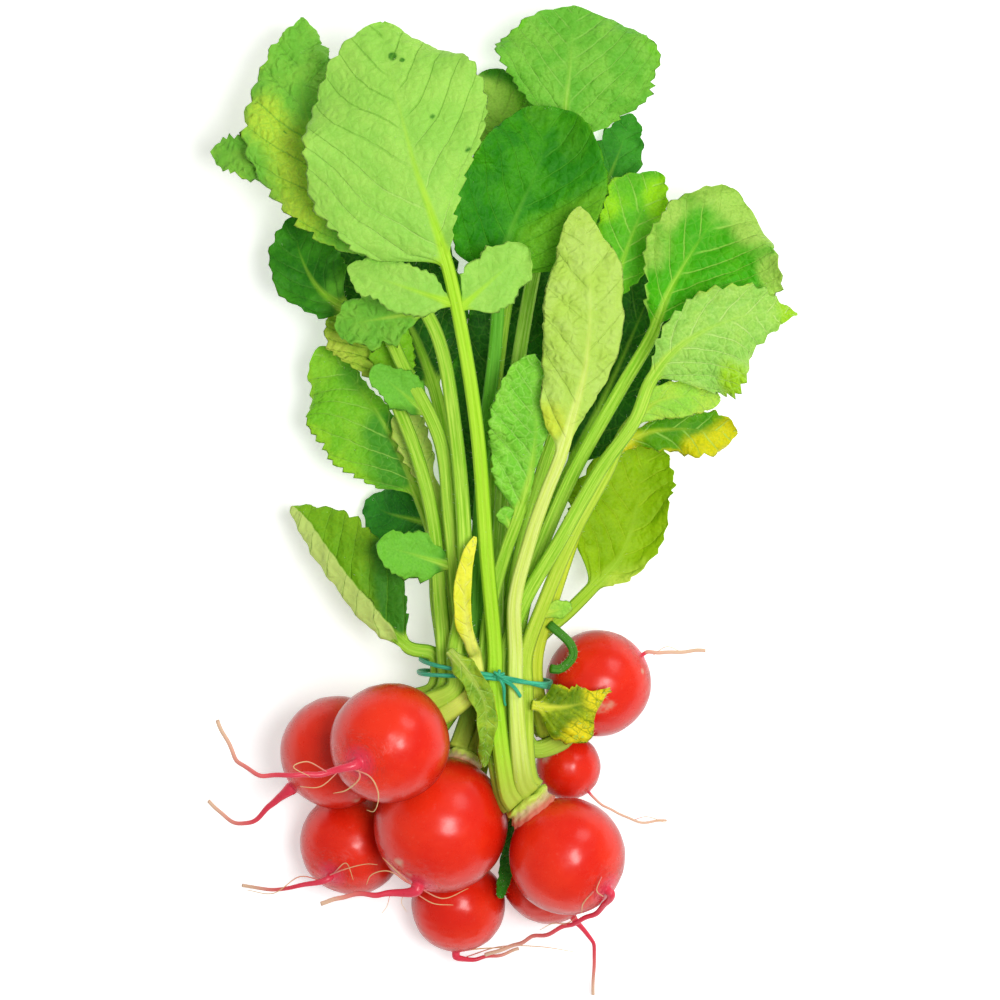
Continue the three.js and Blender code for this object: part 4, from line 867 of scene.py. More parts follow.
LOOKS = {
    "leaf_front": dict(main=(153, 213, 84), second=(167, 220, 92), edge=(176, 226, 70), vein=(104, 172, 40),
                       vein_low=(190, 234, 120), deep=(132, 200, 56), stem=(160, 220, 30),
                       stem_pale=(184, 230, 60), specks=0.4, veined=0.42, net=0.16, pucker=0.55, ruffle=0.7,
                       rim=0.05, pillow=0.9, patch=(52, 122, 24), patches=((0.85, 1.6, 1.3, 1.3),
                                                                           (0.825, 4.2, 0.8, 1.2),
                                                                           (0.575, 8.6, 1.1, 0.9),
                                                                           (0.41, 16, 1.2, 0.9))),
    "leaf_back_left": dict(main=(116, 190, 56), second=(138, 202, 66), edge=(150, 210, 50),
                           vein=(128, 196, 70), deep=(100, 176, 48), rim=0.15, pucker=1.5, net=0.3,
                           tooth=2.0, pillow=2.0, patch=(190, 226, 62),
                           patches=((0.5, -7, 11, 0.7), (0.3, -12, 10, 0.7), (0.66, -12, 7, 0.6))),
    "leaf_left_dark": dict(vein=(84, 150, 50), net=0.1, veined=0.4, patch=(118, 196, 56), lobe_patched=0.8,
                           patches=((0.1, 5, 12, 0.7),)),
    "leaf_left_serrated": dict(main=(126, 204, 34), second=(148, 216, 48), vein=(168, 224, 92), tooth=1.9,
                               edge=(156, 220, 40), rim=0.3, ragged=0.015, pucker=0.6, net=0.15,
                               vein_low=(176, 226, 100), patch=(78, 158, 36),
                               patches=((0.15, -2, 12, 0.9), (0.4, 0, 8, 0.8), (0.75, 0, 7, 0.6))),
    "leaf_curled_pale": dict(main=(188, 221, 104), second=(178, 215, 82), vein=(170, 206, 78), waved=0.35,
                             pillow=1.6, stem_deep=(150, 184, 50), veined=0.4, pucker=1.0,
                             deep=(166, 206, 66), stem=(206, 230, 84), stem_pale=(228, 242, 140),
                             edge=(200, 228, 90), specks=0.3, tooth=0.5, ragged=0.02, rim=0.05,
                             patch=(206, 224, 60), patches=((0.1, -6, 9, 0.8),)),
    # The dark patch left of this blade's rib is painted shade.
    "leaf_top_fan": dict(main=(106, 186, 50), second=(132, 200, 66), vein=(150, 210, 88), rib_fade=0.9,
                         pillow=1.3, pucker=0.5, net=0.12, stem_pale=(200, 236, 110), edge=(112, 200, 30),
                         tooth=1.9, patch=(60, 140, 24), patches=((0.3, -21, 9, 0.7), (0.05, 6, 7, 0.8))),
    "leaf_top_behind": dict(main=(56, 128, 18), second=(76, 146, 26), vein=(120, 170, 50), net=0.1,
                            veined=0.2, patch=(168, 208, 84),
                            patches=((0.78, -3, 8, 1.4), (0.5, 0, 9, 1.2))),
    "leaf_cupped": dict(main=(36, 130, 0), second=(66, 158, 4), edge=(90, 172, 20), vein=(84, 164, 36),
                        deep=(22, 98, 6), stem=(84, 160, 30), stem_pale=(110, 184, 50), rib_fade=0.8,
                        ruffle=0.5, pucker=0.5, tooth=0.8, ragged=0.02, net=0.1, veined=0.4,
                        patch=(104, 174, 26), patches=((0.3, 17, 11, 1.3), (0.5, 22, 8, 1.3),
                                                       (0.1, 11, 12, 0.8), (0.02, -2, 6, 0.4),
                                                       (0.8, 8, 8, 0.45), (0.97, -4, 6, 0.5))),
    "leaf_top_right_dark": dict(main=(40, 124, 24), second=(62, 150, 38), net=0.1, veined=0.2,
                                vein=(90, 160, 60)),
    "leaf_right_upper": dict(main=(88, 180, 22), second=(112, 194, 32), edge=(150, 220, 14), rim=0.2,
                             net=0.12, patch=(158, 222, 16),
                             patches=((0.85, 5, 8, 1.0), (0.62, -10, 5, 0.8))),
    "leaf_right_ruffled": dict(main=(62, 168, 0), second=(80, 180, 8), edge=(166, 218, 84), rim=0.3,
                               vein=(170, 218, 90), ruffle=1.3, pucker=0.8, net=0.12, patch=(170, 212, 88),
                               patches=((0.97, -8, 9, 1.2), (0.92, 10, 9, 1.1), (0.7, 25, 6, 1.2),
                                        (0.42, 26, 5, 1.0), (0.4, -9, 6, 0.7), (0.66, -13, 6, 0.9))),
    "leaf_right_tip": dict(main=(152, 210, 86), second=(170, 218, 92), pillow=1.4, ruffle=1.0,
                           edge=(180, 222, 50), vein=(204, 238, 136), vein_low=(204, 238, 136), tooth=2.0,
                           patch=(164, 216, 30), patches=((1.0, 0, 7, 1.1), (0.45, 17, 7, 0.9))),
    "leaf_right_lobe": dict(stem=(168, 208, 40), stem_pale=(206, 228, 84), main=(160, 222, 74),
                            second=(190, 228, 78), edge=(204, 230, 60), tooth=0.9),
    "leaf_right_yellow": dict(stem=(186, 208, 30), stem_pale=(214, 226, 70), stem_deep=(110, 150, 14),
                              main=(72, 144, 0), second=(98, 162, 0), edge=(196, 196, 0), rim=0.2, net=0.1,
                              ragged=0.09, patch=(218, 210, 4),
                              patches=((0.97, 2, 8, 1.1), (0.72, 6, 5, 1.0), (0.15, -2, 8, 0.9))),
    "leaf_right_hanging": dict(main=(138, 180, 0), second=(154, 194, 10), vein=(176, 206, 40), rib_fade=1.0,
                               stem=(150, 196, 30), stem_pale=(176, 212, 60), deep=(118, 168, 4),
                               under=(184, 220, 80), edge=(160, 206, 20), rim=0.05, net=0.1, veined=0.4,
                               patch=(198, 222, 78), patches=((0.03, 8, 10, 1.3), (0.2, 15, 6, 1.2),
                                                              (0.4, 20, 5, 1.0))),
    "leaf_centre_crinkled": dict(main=(122, 204, 52), second=(144, 216, 66), vein=(170, 226, 104), pucker=1.8,
                                 net=0.4, pillow=1.8, tooth=1.3, ruffle=1.2, edge=(140, 214, 66)),
    "leaf_lower_left": dict(main=(134, 184, 26), second=(120, 176, 20), under=(192, 216, 112),
                            edge=(160, 206, 30), vein=(120, 180, 40), rim=0.05, net=0.08, veined=0.35,
                            patch=(60, 126, 24), patches=((0.05, 8, 13, 1.3), (0.3, 15, 10, 1.0),
                                                          (0.5, 17, 6, 0.7))),
    "leaf_left_wilted": dict(main=(200, 222, 80), second=(168, 206, 60), deep=(160, 196, 56), pucker=1.4,
                             pillow=1.6, edge=(166, 206, 34), vein=(120, 166, 40), patch=(120, 190, 20),
                             lobe_patched=0.8),
    "leaf_left_pale": dict(main=(200, 222, 108), second=(184, 214, 84), deep=(160, 196, 70),
                           stem=(206, 226, 100), pillow=1.5),
    "leaf_left_under": dict(main=(24, 104, 26), second=(50, 136, 40), net=0.1, veined=0.3,
                            vein=(70, 150, 60)),
    "leaf_small_yellow": dict(main=(242, 242, 66), second=(226, 234, 56), edge=(236, 230, 30),
                              vein=(244, 246, 120), vein_low=(244, 246, 120), tooth=0.3, ruffle=0.2,
                              net=0.1, deep=(220, 226, 60), stem=(226, 236, 90), stem_pale=(240, 244, 120)),
    "withered_leaf": dict(main=(168, 190, 18), second=(84, 126, 6), edge=(214, 212, 20),
                          vein=(120, 146, 20), ruffle=3.0, pucker=3.0, tooth=1.4, ragged=0.14, net=0.6,
                          based=0, patch=(238, 222, 24), patches=((0.95, 0, 7, 1.3), (0.5, 8, 4, 0.9)),
                          deep=(60, 100, 6), rim=0.25, stem=(190, 206, 40), stem_pale=(220, 226, 70)),
    "hanging_shred": dict(main=(170, 198, 48), second=(110, 158, 28), tooth=0.3, ruffle=0.9, ragged=0.14,
                          based=0, stem=(150, 190, 50), stem_pale=(206, 224, 110)),
    "narrow_leaf": dict(main=(30, 122, 10), second=(58, 150, 26), vein=(60, 140, 30), pucker=1.2, net=0.5,
                        ruffle=0.5, based=0, stem=(40, 120, 20), stem_pale=(60, 140, 30)),
    "bent_stalk": dict(stem=(40, 104, 16), stem_pale=(78, 146, 36), stem_base=(50, 116, 24), based=0),
}
# Leaves lying underneath the bunch: their very dark greens are painted shade, and they are drawn more
# coarsely and without hairs.
PAINTED_SHADE_LEAVES = ("leaf_under_left", "leaf_under_centre", "leaf_under_right")
COLOURS = ("main", "second", "edge", "under", "vein", "vein_low", "deep", "stem", "stem_pale", "stem_base",
           "stem_deep", "speck", "patch")
VEINS_ON_BLADE = 7
LEAST_PITCH = 5.0
GROOVE_DEPTH, GROOVE_WIDTH = 0.26, 0.5
STEM_RIDGES, STEM_RIDGE_HEIGHT = 11, 0.025
EDGE_CROWDING = 1.12
RAGGED_LENGTH, RUFFLE_LENGTH = 13, 13
BASE_FADE = 16
VEIN_RISE, VEIN_BEND = 1.05, 0.01
VEIN_SLANT = 0.66
TOOTH_PEAK, SMALL_TOOTH_PEAK = 0.78, 0.7


def look_of(leaf):
    """All the terms of one leaf: what it has of its own, then its tint's, then the plain ones."""
    look = PLAIN | TINTS[leaf["tint"]] | LOOKS.get(leaf["name"], {})
    look.setdefault("vein_low", look["vein"])
    if leaf["name"] in PAINTED_SHADE_LEAVES:
        # Painted shade: these leaves get very dark greens.
        look = look | dict(main=(20, 76, 10), second=(32, 100, 16), spacing=1.2, net=0.08, veined=0.15)
    for key in COLOURS:
        look[key] = tone(*look[key])
    look["columns"] = int(np.clip(max(leaf["left"][0], leaf["right"][0]) / BLADE_STEP, 10, 46))
    return look


# Roots, crowns and tie

# Ends of the thin roots beyond the solids, on the plan, and marks on the skin: plan place, size, strength
TAIL_HAIRS = {
    "upper": ((-78, -79, 76), (-81, -75, 74), (-84.6, -66.6, 70)),
    "left": ((-87.3, -90.9, 24),),
    "lower_left": ((-77.4, -115.5, 19),),
    "far_right": ((61.5, -45, 14),),
    "small": ((49.5, -96.3, 4.5),),
}
SCARS = {
    "front": ((-31.5, -110, 51, 3.0, 0.6), (-27.5, -113, 49, 2.2, 0.5)),
    "far_right": ((31.5, -62, 30, 4.5, 0.55), (43.5, -51, 24, 1.6, 0.6), (44.5, -58, 22, 1.4, 0.5)),
    "left": ((-42, -92, 40, 3.0, 0.5),),
    "small": ((14, -77, 16, 3.0, 0.6),),
}
TAIL_TIP = 0.13
TAIL_FINENESS = {"far_right": 0.25, "small": 0.3}


def skin_material(settings):
    """Waxy red skin with faint clouds, fine dots, pale scars, a pinkish root and a pale crown, and painted
    shade: a deeper red on the flanks and underside of each root.
    """
    recipe = Recipe("radish_skin")
    where = recipe.node("ShaderNodeTexCoord", {}, output="Object")
    root, crown, scar, tail = (recipe.value(key) for key in ("root", "crown", "scar", "tail"))
    around, low = recipe.value("around"), recipe.value("low")
    clouds = recipe.noise(where, 55, 4, 0.6, 0.3)
    dots = recipe.noise(where, 900, 2, 0.6)
    fine = recipe.noise(where, 320, 3, 0.6)
    skin = recipe.mix(recipe.step(clouds, 0.3, 0.72), settings["skin"], settings["skin_light"])
    # Painted shade: the skin turns a deeper red on the flanks and underside, by height round the root's
    # middle.
    skin = recipe.mix(recipe.step(low + (clouds - 0.5) * 0.5, 0.0, 1.0) * 0.8, skin, settings["skin_low"])
    skin = recipe.mix(recipe.step(dots, 0.6, 0.78) * 0.16, skin, settings["skin_pale"])
    round_root = recipe.node("ShaderNodeCombineXYZ", {}, {"X": root * 60, "Y": around * 1.2})
    rings = recipe.noise(round_root, 1.0, 3, 0.7)
    ringed = recipe.step(rings, 0.56, 0.72) * recipe.step(root, 0.3, 0.9) * 0.4
    skin = recipe.mix(ringed, skin, settings["skin_pale"])
    skin = recipe.mix(recipe.step(root, 0.8, 1.02) * 0.85, skin, settings["tail"])
    skin = recipe.mix(recipe.step(tail, 0.1, 0.95), skin, settings["tail_end"])
    skin = recipe.mix(recipe.step(crown + (clouds - 0.5) * 0.5, 0.55, 0.95), skin, settings["crown_skin"])
    worn = recipe.step(scar + (fine - 0.5) * 0.7, 0.3, 0.75)
    skin = recipe.mix(worn * 0.8, skin, settings["scar"])
    height = fine * 0.3 + clouds * 0.6 - worn * 0.6
    height = height - recipe.step(rings, 0.5, 0.75) * recipe.step(root, 0.4, 1.0)
    return recipe.finish(skin, 0.24 + worn * 0.3 + fine * 0.08 + tail * 0.2, height, 0.00018, **{
        "Specular IOR Level": 0.36})


def radish_shape(radish, seed):
    """The round root and its thin root as one skin of circles round one line.

    The line runs straight from behind the globe through its middle to where the thin root leaves
    it, then along the thin root. A circle's radius is the larger of sqrt(R^2 - a^2), a being the
    distance from the middle, and the thin root's radius, melted together where they meet. The
    globe is drawn out to a point there, and the skin is a little uneven.
    """
    centre = from_plan(radish["centre"])[0]
    size = radish["radius"]
    tail = from_plan((*radish["tail"], *TAIL_HAIRS.get(radish["name"], ())))
    root = unit(tail[0] - centre)
    leave = centre + root * (size * (1 + ROOT_POINT) + 0.5)
    dense, away = stretch_of(np.vstack([centre + root * size * 0.8, leave, tail[1:]]), 1, len(tail))
    outside = away[-1]

    turn = np.linspace(math.pi, 0.2, GLOBE_ROWS)
    a = np.cos(turn) * size
    along_tail = outside * np.linspace(0, 1, TAIL_ROWS) ** TAIL_ROW_CROWDING
    axis = centre + root * a[:, None]
    inner = a[-1]
    gap = np.linalg.norm(leave - centre) - inner
    bridge = np.linspace(0, 1, 9)[1:-1]
    a_bridge = inner + gap * bridge
    line = np.vstack([axis, centre + root * a_bridge[:, None], line_at(dense, away, along_tail / outside)])
    reach = np.concatenate([a, a_bridge, inner + gap + along_tail])
    beyond = np.maximum(reach - size * (1 + ROOT_POINT), 0)
    share = beyond / beyond[-1]
    thick = radish["thick"] * TAIL_FINENESS.get(radish["name"], 1)
    pale = 0.2 if radish["name"] in TAIL_FINENESS else 2
    thin = TAIL_TIP + (thick - TAIL_TIP) * (1 - share) ** TAIL_TAPER
    thin = thin + TAIL_FLARE * thick * np.exp(-beyond / (size * TAIL_FLARE_LENGTH))
    theta = np.arccos(np.clip(reach / size, -1, 1))
    pointed = 1 + 0.25 * ROOT_POINT * np.exp(-((theta / ROOT_POINT_SPREAD) ** 2))
    globe = np.sqrt(np.maximum(size ** 2 - reach ** 2, 0)) * pointed
    melt = size * MELT
    both = np.clip(0.5 + 0.5 * (thin - globe) / melt, 0, 1)
    radius = globe + (thin - globe) * both + melt * both * (1 - both) * (reach > 0)
    radius[0] = 0.02 * size

    around = np.linspace(0, math.tau, GLOBE_SIDES, endpoint=False)
    along = unit(np.gradient(line, axis=0))
    along[:len(a) + len(a_bridge)] = root
    across = unit(np.cross(along, UP))
    out = np.cross(across, along)
    rings = circles(line, across, out, around, radius)

    spread = rings - centre
    globe_share = smooth((size * 1.02 - reach) / (size * 0.1))[:, None]
    x, y, z = (spread[..., k] for k in range(3))
    dents = ripples(x + z * 0.7, y - z * 0.6, size * 1.6, seed)
    uneven = dents * DENTS * size + PIMPLES * ripples(x, y + z, 5, seed + 1)
    toward = unit(spread) @ unit(radish["crown"])
    shoulder = np.exp(-((np.arccos(np.clip(toward, -1, 1)) / SHOULDER_SPREAD) ** 2)) * SHOULDER * size
    rings = rings + unit(spread) * ((uneven + shoulder) * globe_share)[..., None]
    wander = np.stack([ripples(beyond, 0, 14, seed + 2), ripples(beyond, 0, 11, seed + 3),
                       ripples(beyond, 0, 12, seed + 4)], 1) * TAIL_WANDER * smooth(beyond / 10)[:, None]
    rings = rings + wander[:, None]

    angle = np.arccos(np.clip(toward, -1, 1))
    scar = 0
    for *place, width, strength in SCARS.get(radish["name"], ()):
        spot = from_plan(place)[0]
        spot = centre + unit(spot - centre) * size
        scar = np.maximum(scar, strength * np.exp(-(np.linalg.norm(rings - spot, axis=2) / width) ** 2))
    close = np.clip(reach / size, 0, 1)[:, None]
    crown_tint = np.exp(-((angle / CROWN_TINT_SPREAD) ** 2)) * globe_share
    values = dict(root=close ** 3 + 0 * angle, crown=crown_tint,
                  tail=(share ** pale)[:, None] + 0 * angle, scar=scar + 0 * angle,
                  around=around[None] / math.tau * 12 + 0 * angle,
                  # low: painted shade, 1 on the flanks and underside of the globe, 0 on its top
                  low=smooth((0.82 - spread[..., 2] / size) / 0.95) * globe_share)
    return Shape().tube(rings, **values)


def circles(line, across, out, around, radius):
    """A ring of points round each point of a line."""
    circle = across[:, None] * np.cos(around)[None, :, None] + out[:, None] * np.sin(around)[None, :, None]
    return line[:, None] + circle * radius[:, None, None]


def thread_tube(shape, line, start, stop, sides):
    """A thin tube round a line whose radius goes from start to stop as (1 - share)^0.7."""
    _, across, out = frames_of(line)
    share = np.linspace(0, 1, len(line))
    radius = stop + (start - stop) * (1 - share) ** 0.7
    turn = np.linspace(0, math.tau, sides, endpoint=False)
    shape.tube(circles(line, across, out, turn, radius), share=share[:, None] + 0 * turn[None])


# Curly threads on the thin roots: radish, places on the plan, radius in millimetres
ROOTLETS = (
    ("upper", ((-43, -80, 77), (-42, -83, 77), (-46, -87, 74), (-50, -88, 71)), 0.28),
    ("upper", ((-45, -80.5, 77), (-39, -83, 78), (-36.5, -88, 76), (-38, -93.5, 70), (-40, -93, 69)), 0.26),
    ("upper", ((-52, -81.5, 79), (-58, -78.5, 80), (-62, -80, 81), (-57, -83, 80)), 0.22),
    ("upper", ((-48, -81, 78), (-54, -86, 77), (-60, -86, 75)), 0.2),
    ("front", ((-26.5, -115.4, 46), (-30.1, -112.2, 46.5), (-35.2, -107.3, 45)), 0.24),
    ("front", ((-27.4, -114.9, 46), (-33.7, -111.3, 46), (-38.6, -112.5, 44), (-40.1, -115.4, 42)), 0.22),
    ("front", ((-24, -115, 45), (-18, -116.5, 44), (-12, -115.5, 43)), 0.26),
    ("front", ((-24, -116.5, 44), (-17, -119.5, 42), (-9.5, -116.5, 40)), 0.22),
    ("front", ((-26, -117.5, 44), (-20, -121, 42), (-14, -121.5, 40)), 0.2),
    ("front", ((-33, -118.5, 45), (-34, -122, 44), (-35.5, -124, 44)), 0.1),
    ("front", ((-29, -118, 45), (-29.5, -121, 44), (-28, -123.5, 44)), 0.1),
    ("lower_left", ((-54, -114, 27), (-60, -113, 27), (-68, -118, 25), (-76, -117, 22)), 0.2),
    ("lower_left", ((-51, -112.5, 29), (-46.4, -110.7, 34), (-40, -109.2, 39), (-36.8, -109.4, 42)), 0.2),
    ("lower_left", ((-50, -112, 28), (-46, -109, 34), (-44, -114, 33)), 0.18),
    ("bottom", ((-10, -137, 13), (0, -134, 14), (12, -134, 13), (22, -135.5, 10)), 0.2),
    ("bottom", ((-13, -135.5, 14), (-6, -134.6, 16), (3, -134.2, 16)), 0.28),
    ("right", ((28, -117.5, 60), (25, -121, 58), (24.5, -124, 54)), 0.22),
    ("right", ((30.5, -113, 62), (29, -117, 62), (31, -119, 58)), 0.2),
    ("right", ((20, -127.5, 42), (16, -127, 40), (12, -129, 37)), 0.16),
    ("right_under", ((23, -125, 14), (20, -127, 13), (17, -126.5, 12)), 0.2),
    ("far_right", ((46, -46.5, 17), (50, -44, 17), (55, -46, 15)), 0.1),
    ("small", ((40, -96, 7), (44, -95, 6.5), (50, -97, 5)), 0.1),
)


def thread_material(name, start, stop, roughness):
    """A dry thread whose colour goes from its start to its tip, with fine cross marks."""
    recipe = Recipe(name)
    where = recipe.node("ShaderNodeTexCoord", {}, output="Object")
    marks = recipe.noise(where, 700, 3, 0.6)
    colour = recipe.mix(recipe.step(recipe.value("share") + (marks - 0.5) * 0.5, 0.0, 0.6), start, stop)
    return recipe.finish(colour, roughness + marks * 0.1, marks, 0.0001)


def crown_shape(radish, seed):
    """The neck between a root and its stems: circles along the crown's way, widest at both ends,
    drawn in by 12 % between them, with a flute for each stem and a ragged scaly skin."""
    way, top, ring = crown_place(radish)
    width = ring + STEM_RADIUS
    length = CROWN_LENGTH + CROWN_SINK + 2.5
    sideways, upwards = seat_frame(way, top)
    turn = np.linspace(0, math.tau, CROWN_SIDES, endpoint=False)[None]
    rise = np.linspace(0, 1, CROWN_ROWS)[:, None]
    waist = 1.16 - 0.16 * smooth(rise * 1.4) + 0.1 * np.exp(-(((rise - 0.75) / 0.12) ** 2))
    flutes = 1 + 0.05 * np.cos(turn * radish["stems"]) * rise + 0.025 * np.cos(turn * 13 + 9 * rise)
    close = np.sqrt(np.clip(1 - ((rise - 0.86) / 0.14).clip(0) ** 2 * 0.9, 0, 1))
    radius = width * waist * flutes * close * (1 + 0.025 * ripples(turn * 4, rise * 9, 3, seed))
    base = top - way * (CROWN_LENGTH + CROWN_SINK)
    level = rise * length * 0.72 + 0.3 * ripples(turn * 5, 0, 4, seed + 1) * rise
    rings = (base + way * level[..., None] + sideways * (radius * np.cos(turn))[..., None]
             + upwards * (radius * np.sin(turn))[..., None])
    return Shape().tube(rings, rise=rise + 0 * turn, around=turn / math.tau * 10 + 0 * rise)


def crown_material(settings):
    """Pink at the root, then brown scaly rings, then pale green with long streaks."""
    recipe = Recipe("crown_neck")
    where = recipe.node("ShaderNodeTexCoord", {}, output="Object")
    rise, around = recipe.value("rise"), recipe.value("around")
    rough = recipe.noise(where, 260, 4, 0.65)
    round_neck = recipe.node("ShaderNodeCombineXYZ", {}, {"X": around * 3, "Y": rise * 1.5})
    streaks = recipe.noise(round_neck, 1.5, 3, 0.6)
    scales = recipe.step(rise + (rough - 0.5) * 0.3, 0.15, 0.45)
    colour = recipe.mix(scales, settings["low"], settings["scaly"])
    colour = recipe.mix(recipe.step(rise + (streaks - 0.5) * 0.5, 0.45, 0.75), colour, settings["high"])
    colour = recipe.mix(recipe.step(rough, 0.62, 0.75) * 0.5, colour, settings["mark"])
    return recipe.finish(colour, 0.55 + rough * 0.2, rough + streaks * 0.5, 0.0005, **{
        "Subsurface Weight": 0.08, "Subsurface Radius": (0.002, 0.002, 0.0006), "Subsurface Scale": 1.0})


def band_tube(shape, line, across_ring, out_ring, width, thick, twist):
    """A flat band round a line: a rounded rectangle |x|^4 + |y|^4 = 1, turned by the twist."""
    turn = np.linspace(0, math.tau, BAND_SIDES, endpoint=False)
    x = np.sign(np.cos(turn)) * np.abs(np.cos(turn)) ** 0.5 * width / 2
    y = np.sign(np.sin(turn)) * np.abs(np.sin(turn)) ** 0.5 * thick / 2
    c, s = np.cos(twist)[:, None], np.sin(twist)[:, None]
    u, w = x * c - y * s, x * s + y * c
    rings = line[:, None] + across_ring[:, None] * u[..., None] + out_ring[:, None] * w[..., None]
    place = np.concatenate([[0], np.cumsum(np.linalg.norm(np.diff(line, axis=0), axis=1))])
    shape.tube(rings, u=turn[None] * 0.1 + 0 * u, v=place[:, None] / 10 + 0 * u)


def tie_shape():
    """Two turns of thin band round the stems, each an ellipse x = A cos t, z = B sin t that dips
    between the stems, tilted on the plan, with a knot of three small loops and two twisted ends."""
    shape = Shape()
    centre = from_plan(TIE_CENTRE)[0]
    for tilt, shift, seed in ((TIE_LEAN + TIE_TILT, -0.6, 3), (TIE_LEAN - TIE_TILT, 0.6, 4)):
        t = np.linspace(0, math.tau, BAND_ROWS)
        dip = 0.35 * np.cos(t * 9 + seed) * np.sin(t).clip(0)
        grow = TIE_THICKNESS / 2 - dip
        x = (TIE_HALF_WIDTH + grow) * np.cos(t)
        z = (TIE_HALF_HEIGHT + grow) * np.sin(t)
        y = shift + 0.35 * np.sin(t * 3 + seed)
        c, s = math.cos(tilt), math.sin(tilt)
        turned = np.stack([x * c - y * s, x * s + y * c, z], 1)
        line = centre + turned
        along = unit(np.gradient(turned, axis=0))
        side = unit(np.cross(unit(turned * (1, 0, 1)), along))
        band_tube(shape, line, side, np.cross(along, side), TIE_BAND, TIE_THICKNESS * 0.8,
                  0.25 * np.sin(t * 5 + seed))
    knot = centre + UP * (TIE_HALF_HEIGHT + TIE_THICKNESS) + TIE_KNOT
    for number, (lean, size) in enumerate(((0.3, 1.5), (1.4, 1.3), (2.5, 1.4))):
        t = np.linspace(0, math.tau * 0.97, 60)
        way = np.array((math.cos(lean), math.sin(lean), 0.15))
        line = knot + way * (np.cos(t) * size)[:, None] + UP * (np.sin(t) * 1.1 + 0.3 * number)[:, None]
        _, side, out = frames_of(line + np.array((0, 0.01, 0)) * t[:, None])
        band_tube(shape, line, side, out, 0.9, 0.8, t * 0.5)
    for turn, seed in ((-0.75, 5), (-1.3, 6)):
        share = np.linspace(0, 1, 70)
        way = np.array((math.cos(turn), math.sin(turn), -0.12))
        square = np.array((-math.sin(turn), math.cos(turn), 0))
        line = (knot + way * (TIE_END_LENGTH * share)[:, None] + UP * (0.5 - 2.2 * share ** 2)[:, None]
                + square * (0.5 * np.sin(share * 5 + seed))[:, None])
        _, side, out = frames_of(line)
        band_tube(shape, line, side, out, TIE_BAND * 0.9, TIE_THICKNESS * 0.7, 2.2 * share + seed)
    return shape


def tie_material(settings):
    """Shiny teal plastic with fine ridges along the band."""
    recipe = Recipe("tie_band")
    place = recipe.surface_place()
    ridges = recipe.noise(recipe.scaled(place, 26, 0.6), 2.2, 2, 0.5)
    colour = recipe.mix(recipe.step(ridges, 0.3, 0.7), settings["band"], settings["band_light"])
    return recipe.finish(colour, 0.3 + ridges * 0.15, ridges, 0.0002)


# Hairs on stems and rims

def hair_shape(roots, ways, lengths, radius):
    """Thin three-sided spikes: from each root straight along its way to a point."""
    count = len(roots)
    side = unit(np.cross(ways, UP + 0.013))
    other = np.cross(ways, side)
    turns = np.arange(3) * math.tau / 3
    base = roots[:, None] + radius * (side[:, None] * np.cos(turns)[None, :, None]
                                      + other[:, None] * np.sin(turns)[None, :, None])
    tips = roots + ways * lengths[:, None]
    places = np.concatenate([base, tips[:, None]], 1).reshape(-1, 3)
    first = np.arange(count)[:, None] * 4
    faces = np.concatenate([first + np.array((0, 2, 1)), first + np.array((0, 1, 3)),
                            first + np.array((1, 2, 3)), first + np.array((2, 0, 3))])
    shape = Shape()
    shape.places, shape.count = [places], len(places)
    shape.quads, shape.corners = [np.zeros((0, 4), int)], [faces]
    shape.values = {"share": [np.tile((0.0, 0.0, 0.0, 1.0), count)]}
    return shape


def hairs_on(rings, number, seed):
    """Seeded places on a leaf's skin, with their outward ways leaning towards the tip."""
    draw = np.random.default_rng(seed)
    rows, around = rings.shape[:2]
    i = draw.integers(2, rows - 2, number)
    j = draw.integers(0, around, number)
    along = unit(rings[i + 1, j] - rings[i - 1, j])
    beside = unit(rings[i, (j + 1) % around] - rings[i, (j - 1) % around])
    normal = unit(np.cross(along, beside))
    outward = np.einsum("ij,ij->i", normal, rings[i, j] - rings[i].mean(1))
    normal = normal * np.where(outward < 0, -1, 1)[:, None]
    ways = unit(normal + along * 0.35 + draw.normal(0, 0.25, (number, 3)))
    return rings[i, j], ways, draw.uniform(0.5, 1.3, number)


# The add-on

def colour_property(name, description, *display):
    """A colour setting whose default is given in display values from 0 to 255."""
    return bpy.props.FloatVectorProperty(
        name=name, description=description, subtype="COLOR", size=3, min=0, max=1, default=tone(*display))


class RadishRootSettings(bpy.types.PropertyGroup):
    """Colours of the roots and their thin roots."""

    skin: colour_property("Skin", "Red of the skin", 228, 32, 10)
    skin_light: colour_property("Light skin", "Lighter clouds in the skin", 243, 52, 22)
    # Painted shade: the deeper red painted on the roots' flanks and undersides
    skin_low: colour_property("Deep skin", "Darker red of the flanks and the underside", 152, 6, 2)
    skin_pale: colour_property("Pale dots", "Fine pale dots and rings", 248, 120, 96)
    crown_skin: colour_property("Skin at the crown", "Skin beside the crown", 206, 96, 84)
    scar: colour_property("Scar", "Worn places", 222, 190, 160)
    tail: colour_property("Thin root", "Thin root where it leaves", 226, 60, 88)
    tail_end: colour_property("Thin root end", "Thin root at its end", 236, 196, 164)


class RadishCrownSettings(bpy.types.PropertyGroup):
    """Colours of the necks between roots and stems."""

    low: colour_property("Low", "Neck at the root", 206, 110, 84)
    scaly: colour_property("Scaly", "Brown scaly rings", 206, 180, 130)
    high: colour_property("High", "Neck at the stems", 196, 220, 80)
    mark: colour_property("Mark", "Dark marks", 120, 96, 40)


